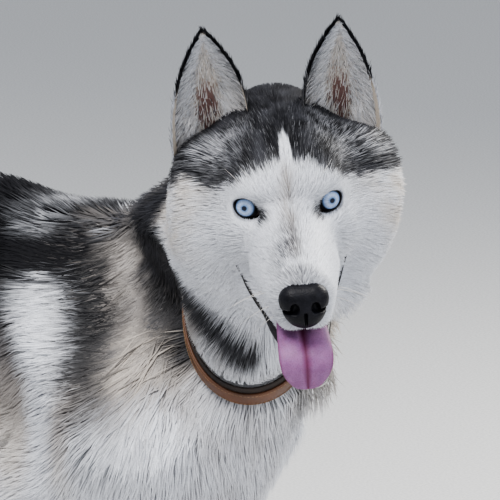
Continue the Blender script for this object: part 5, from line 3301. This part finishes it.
class Feet:
    """Claws and pads."""

    def build(self, finishes: Finishes) -> None:
        """Makes both for all feet.

        Args:
            finishes: The finishes.
        """
        claws, pads = [], []
        for _, heel, scale in paw_heels():
            for x, y, _ in TOES:
                root = heel + scale * vec(x + 13, y * 1.08, 11)
                line = root + np.array([[0, 0, 0], [6, 0, -0.6], [11, 0, -3.4], [14.5, 0, -7.4]]) * scale
                claws.append(tube(curve_through(line, 9), np.linspace(1, 0.12, 9) ** 0.8 * 2.6 * scale, 10))
                pads.append(self.pad(heel + scale * vec(x + 2, y * 1.03, 2.4), (8.5 * scale, 6.2 * scale, 2.3)))
            pads.append(self.pad(heel + scale * vec(8, 0, 2.4), (15 * scale, 17 * scale, 2.3)))
        obj = mesh_of("claws", *joined(claws))
        obj.data.materials.append(finishes.claw)
        ride(faced_out(obj))
        obj = mesh_of("pads", *joined(pads))
        obj.data.materials.append(finishes.pad)
        ride(faced_out(obj))

    @staticmethod
    def pad(middle: Array, size: tuple[float, float, float]) -> tuple[Array, Array]:
        """One rounded pad.

        Args:
            middle: Its middle.
            size: Its half sizes.

        Returns:
            Points and faces.
        """
        rows, columns = 9, 20
        a, b = np.meshgrid(np.linspace(0.02, math.pi - 0.02, rows), ring_angles(columns), indexing="ij")
        local = np.stack([np.sin(a) * np.cos(b), np.sin(a) * np.sin(b), np.cos(a)], axis=-1).reshape(-1, 3)
        return middle + local * np.array(size), sheet_faces(rows, columns, True)


class Whiskers:
    """Long hairs of the muzzle and over the eyes."""

    def build(self, form: Form, finishes: Finishes) -> bpy.types.Object:
        """Makes them.

        Args:
            form: The head.
            finishes: The finishes.

        Returns:
            The whiskers.
        """
        r = np.random.default_rng(SEED + 9)
        parts = []
        for s in (1, -1):
            rows = [(x, y, z) for x in (48, 58, 68) for y, z in ((21, -44), (20, -51), (19, -57))]
            for x, y, z in rows + [(-2, 24, 17), (-6, 28, 16), (-4, 21, 18)]:
                start = on_head(vec(x + r.normal() * 2, s * y, z + r.normal()))
                root = form.drawn(form.drawn(start[None], -0.5), -0.5)[0]
                out = unit(form.slope(root[None]))[0]
                brow = z > 0
                lean = head_axis(vec(-0.25, 0.55 * s, 0.9 if brow else -0.25))
                way = unit(out * (0.5 if brow else 0.9) + lean)
                long = 13 + 6 * r.random() if brow else 20 + 9 * r.random()
                t = np.linspace(0, 1, 8)[:, None]
                sag = -UP * (0.05 if brow else 0.22)
                line = root + way * long * t + sag * long * t**2
                parts.append(tube(line, np.linspace(0.26, 0.05, 8), 5))
        obj = mesh_of("whiskers", *joined(parts))
        obj.data.materials.append(finishes.whisker)
        return ride(faced_out(obj))


class Lips:
    """The dark edges of the closed part of the lips, from the corners of the mouth to the tongue."""

    def build(self, form: Form, finishes: Finishes) -> bpy.types.Object:
        """Makes both.

        Args:
            form: The head.
            finishes: The finishes.

        Returns:
            The lips.
        """
        parts = []
        count = 40
        radii = 0.8 + 1.2 * np.linspace(0.1, 1, count) ** 0.7 + 1.2 * smooth(np.linspace(0, 1, count), 0.5, 0.8)
        for side in (1, -1):
            line = curve_through(np.array(Face.lip_line, dtype=np.float64) * np.array([1, -side, 1]), count)
            placed = on_head(line)
            for _ in range(4):
                placed = form.drawn(placed, 0.3, 3.0)
            before, after = np.vstack([placed[:1], placed[:-1]]), np.vstack([placed[1:], placed[-1:]])
            parts.append(tube(0.25 * before + 0.5 * placed + 0.25 * after, radii, 10))
        obj = mesh_of("lip_edges", *joined(parts))
        obj.data.materials.append(finishes.lid)
        return ride(faced_out(obj))


@dataclass(frozen=True)
class Shot:
    """The camera's place and the light."""

    azimuth: float = 45.0
    elevation: float = 12.0
    distance: float = 2800.0
    across: float = -27.6
    drop: float = -33.3
    width: float = 361.85
    look: tuple[float, float, float] = (258.0, -54.0, 606.0)


class Studio:
    """Floor, soft light and camera."""

    def __init__(self, shot: Shot = Shot()) -> None:
        """Keeps the shot.

        Args:
            shot: The camera's place.
        """
        self.shot = shot

    def build(self) -> None:
        """Sets the stage."""
        scene = bpy.context.scene
        a, e = math.radians(self.shot.azimuth), math.radians(self.shot.elevation)
        back = vec(math.sin(a) * math.cos(e), -math.cos(a) * math.cos(e), math.sin(e))
        right = vec(math.cos(a), math.sin(a), 0)
        up = np.cross(back, right)
        target = np.array(self.shot.look) + right * self.shot.across + up * self.shot.drop
        place = (target + back * self.shot.distance + SHIFT) / 1000
        data = bpy.data.cameras.new("camera")
        data.sensor_width = 36.0
        data.lens = 36.0 * self.shot.distance / self.shot.width
        camera = bpy.data.objects.new("camera", data)
        camera.location = place
        camera.rotation_euler = Vector(-back).to_track_quat("-Z", "Y").to_euler()
        scene.collection.objects.link(camera)
        scene.camera = camera
        self.floor()
        self.lights(target, back, right)

    def floor(self) -> None:
        """A plain pale floor."""
        mesh = bmesh.new()
        bmesh.ops.create_grid(mesh, x_segments=1, y_segments=1, size=40.0)
        data = bpy.data.meshes.new("floor")
        mesh.to_mesh(data)
        mesh.free()
        floor = bpy.data.objects.new("floor", data)
        floor.location.z = -0.0005
        bpy.context.scene.collection.objects.link(floor)
        floor.data.materials.append(SolidFinish("floor", (0.62, 0.62, 0.615), (0.64, 0.64, 0.635), scale=0.4,
                                                grain=300, rough=(0.7, 0.8), bump=0.02).make())

    def lights(self, target: Array, back: Array, right: Array) -> None:
        """A wide key from above, a fill from the side and a rim from behind, with a pale sky.

        Args:
            target: What they aim at, in the dog's millimetres.
            back: From the target to the camera.
            right: The camera's right.
        """
        scene = bpy.context.scene
        aim = (target + SHIFT) / 1000
        spots = [("key", back * 1.1 + right * -0.7 + UP * 2.0, 1.6, 88.0, (1.0, 0.985, 0.97)),
                 ("fill", back * 1.6 + right * 1.5 + UP * 0.7, 2.2, 22.0, (0.93, 0.96, 1.0)),
                 ("rim", back * -1.5 + right * 1.4 + UP * 1.5, 1.0, 60.0, (1.0, 0.97, 0.92))]
        for name, way, size, power, colour in spots:
            data = bpy.data.lights.new(name, "AREA")
            data.shape = "DISK"
            data.size, data.energy, data.color = size, power, colour
            light = bpy.data.objects.new(name, data)
            light.location = aim + way
            light.rotation_euler = Vector(-way).to_track_quat("-Z", "Y").to_euler()
            scene.collection.objects.link(light)
        world = bpy.data.worlds.new("sky")
        world.use_nodes = True
        scene.world = world
        sky = world.node_tree.nodes["Background"]
        sky.inputs[0].default_value = (0.86, 0.90, 0.97, 1.0)
        sky.inputs[1].default_value = 0.62
        scene.view_settings.view_transform = "AgX"
        scene.view_settings.look = "AgX - Medium High Contrast"


def main() -> None:
    """Builds the husky piece by piece."""
    logging.basicConfig(level=logging.INFO, format="%(message)s")
    body = Body()
    noise = Noise(SEED)
    pattern = Pattern(noise)
    finishes = Finishes()
    hide = Hide(body, pattern, finishes)
    hide.build()
    coat = Coat(finishes)
    Dresser(hide, Groomer(body, pattern, noise), coat).build()
    ears = Ears(coat)
    for side in (1, -1):
        ears.build(side, finishes)
        ears.hair(side)
        Eyes().build(side, finishes)
    Nose().build(Sculptor(body).nose_skin(), finishes)
    Tongue().build(finishes)
    Collar().build(finishes)
    Feet().build(finishes)
    Lips().build(hide.head.form, finishes)
    Whiskers().build(hide.head.form, finishes)
    log.info("coat: %d triangles", coat.triangles)
    Studio().build()


if __name__ == "__main__":
    main()
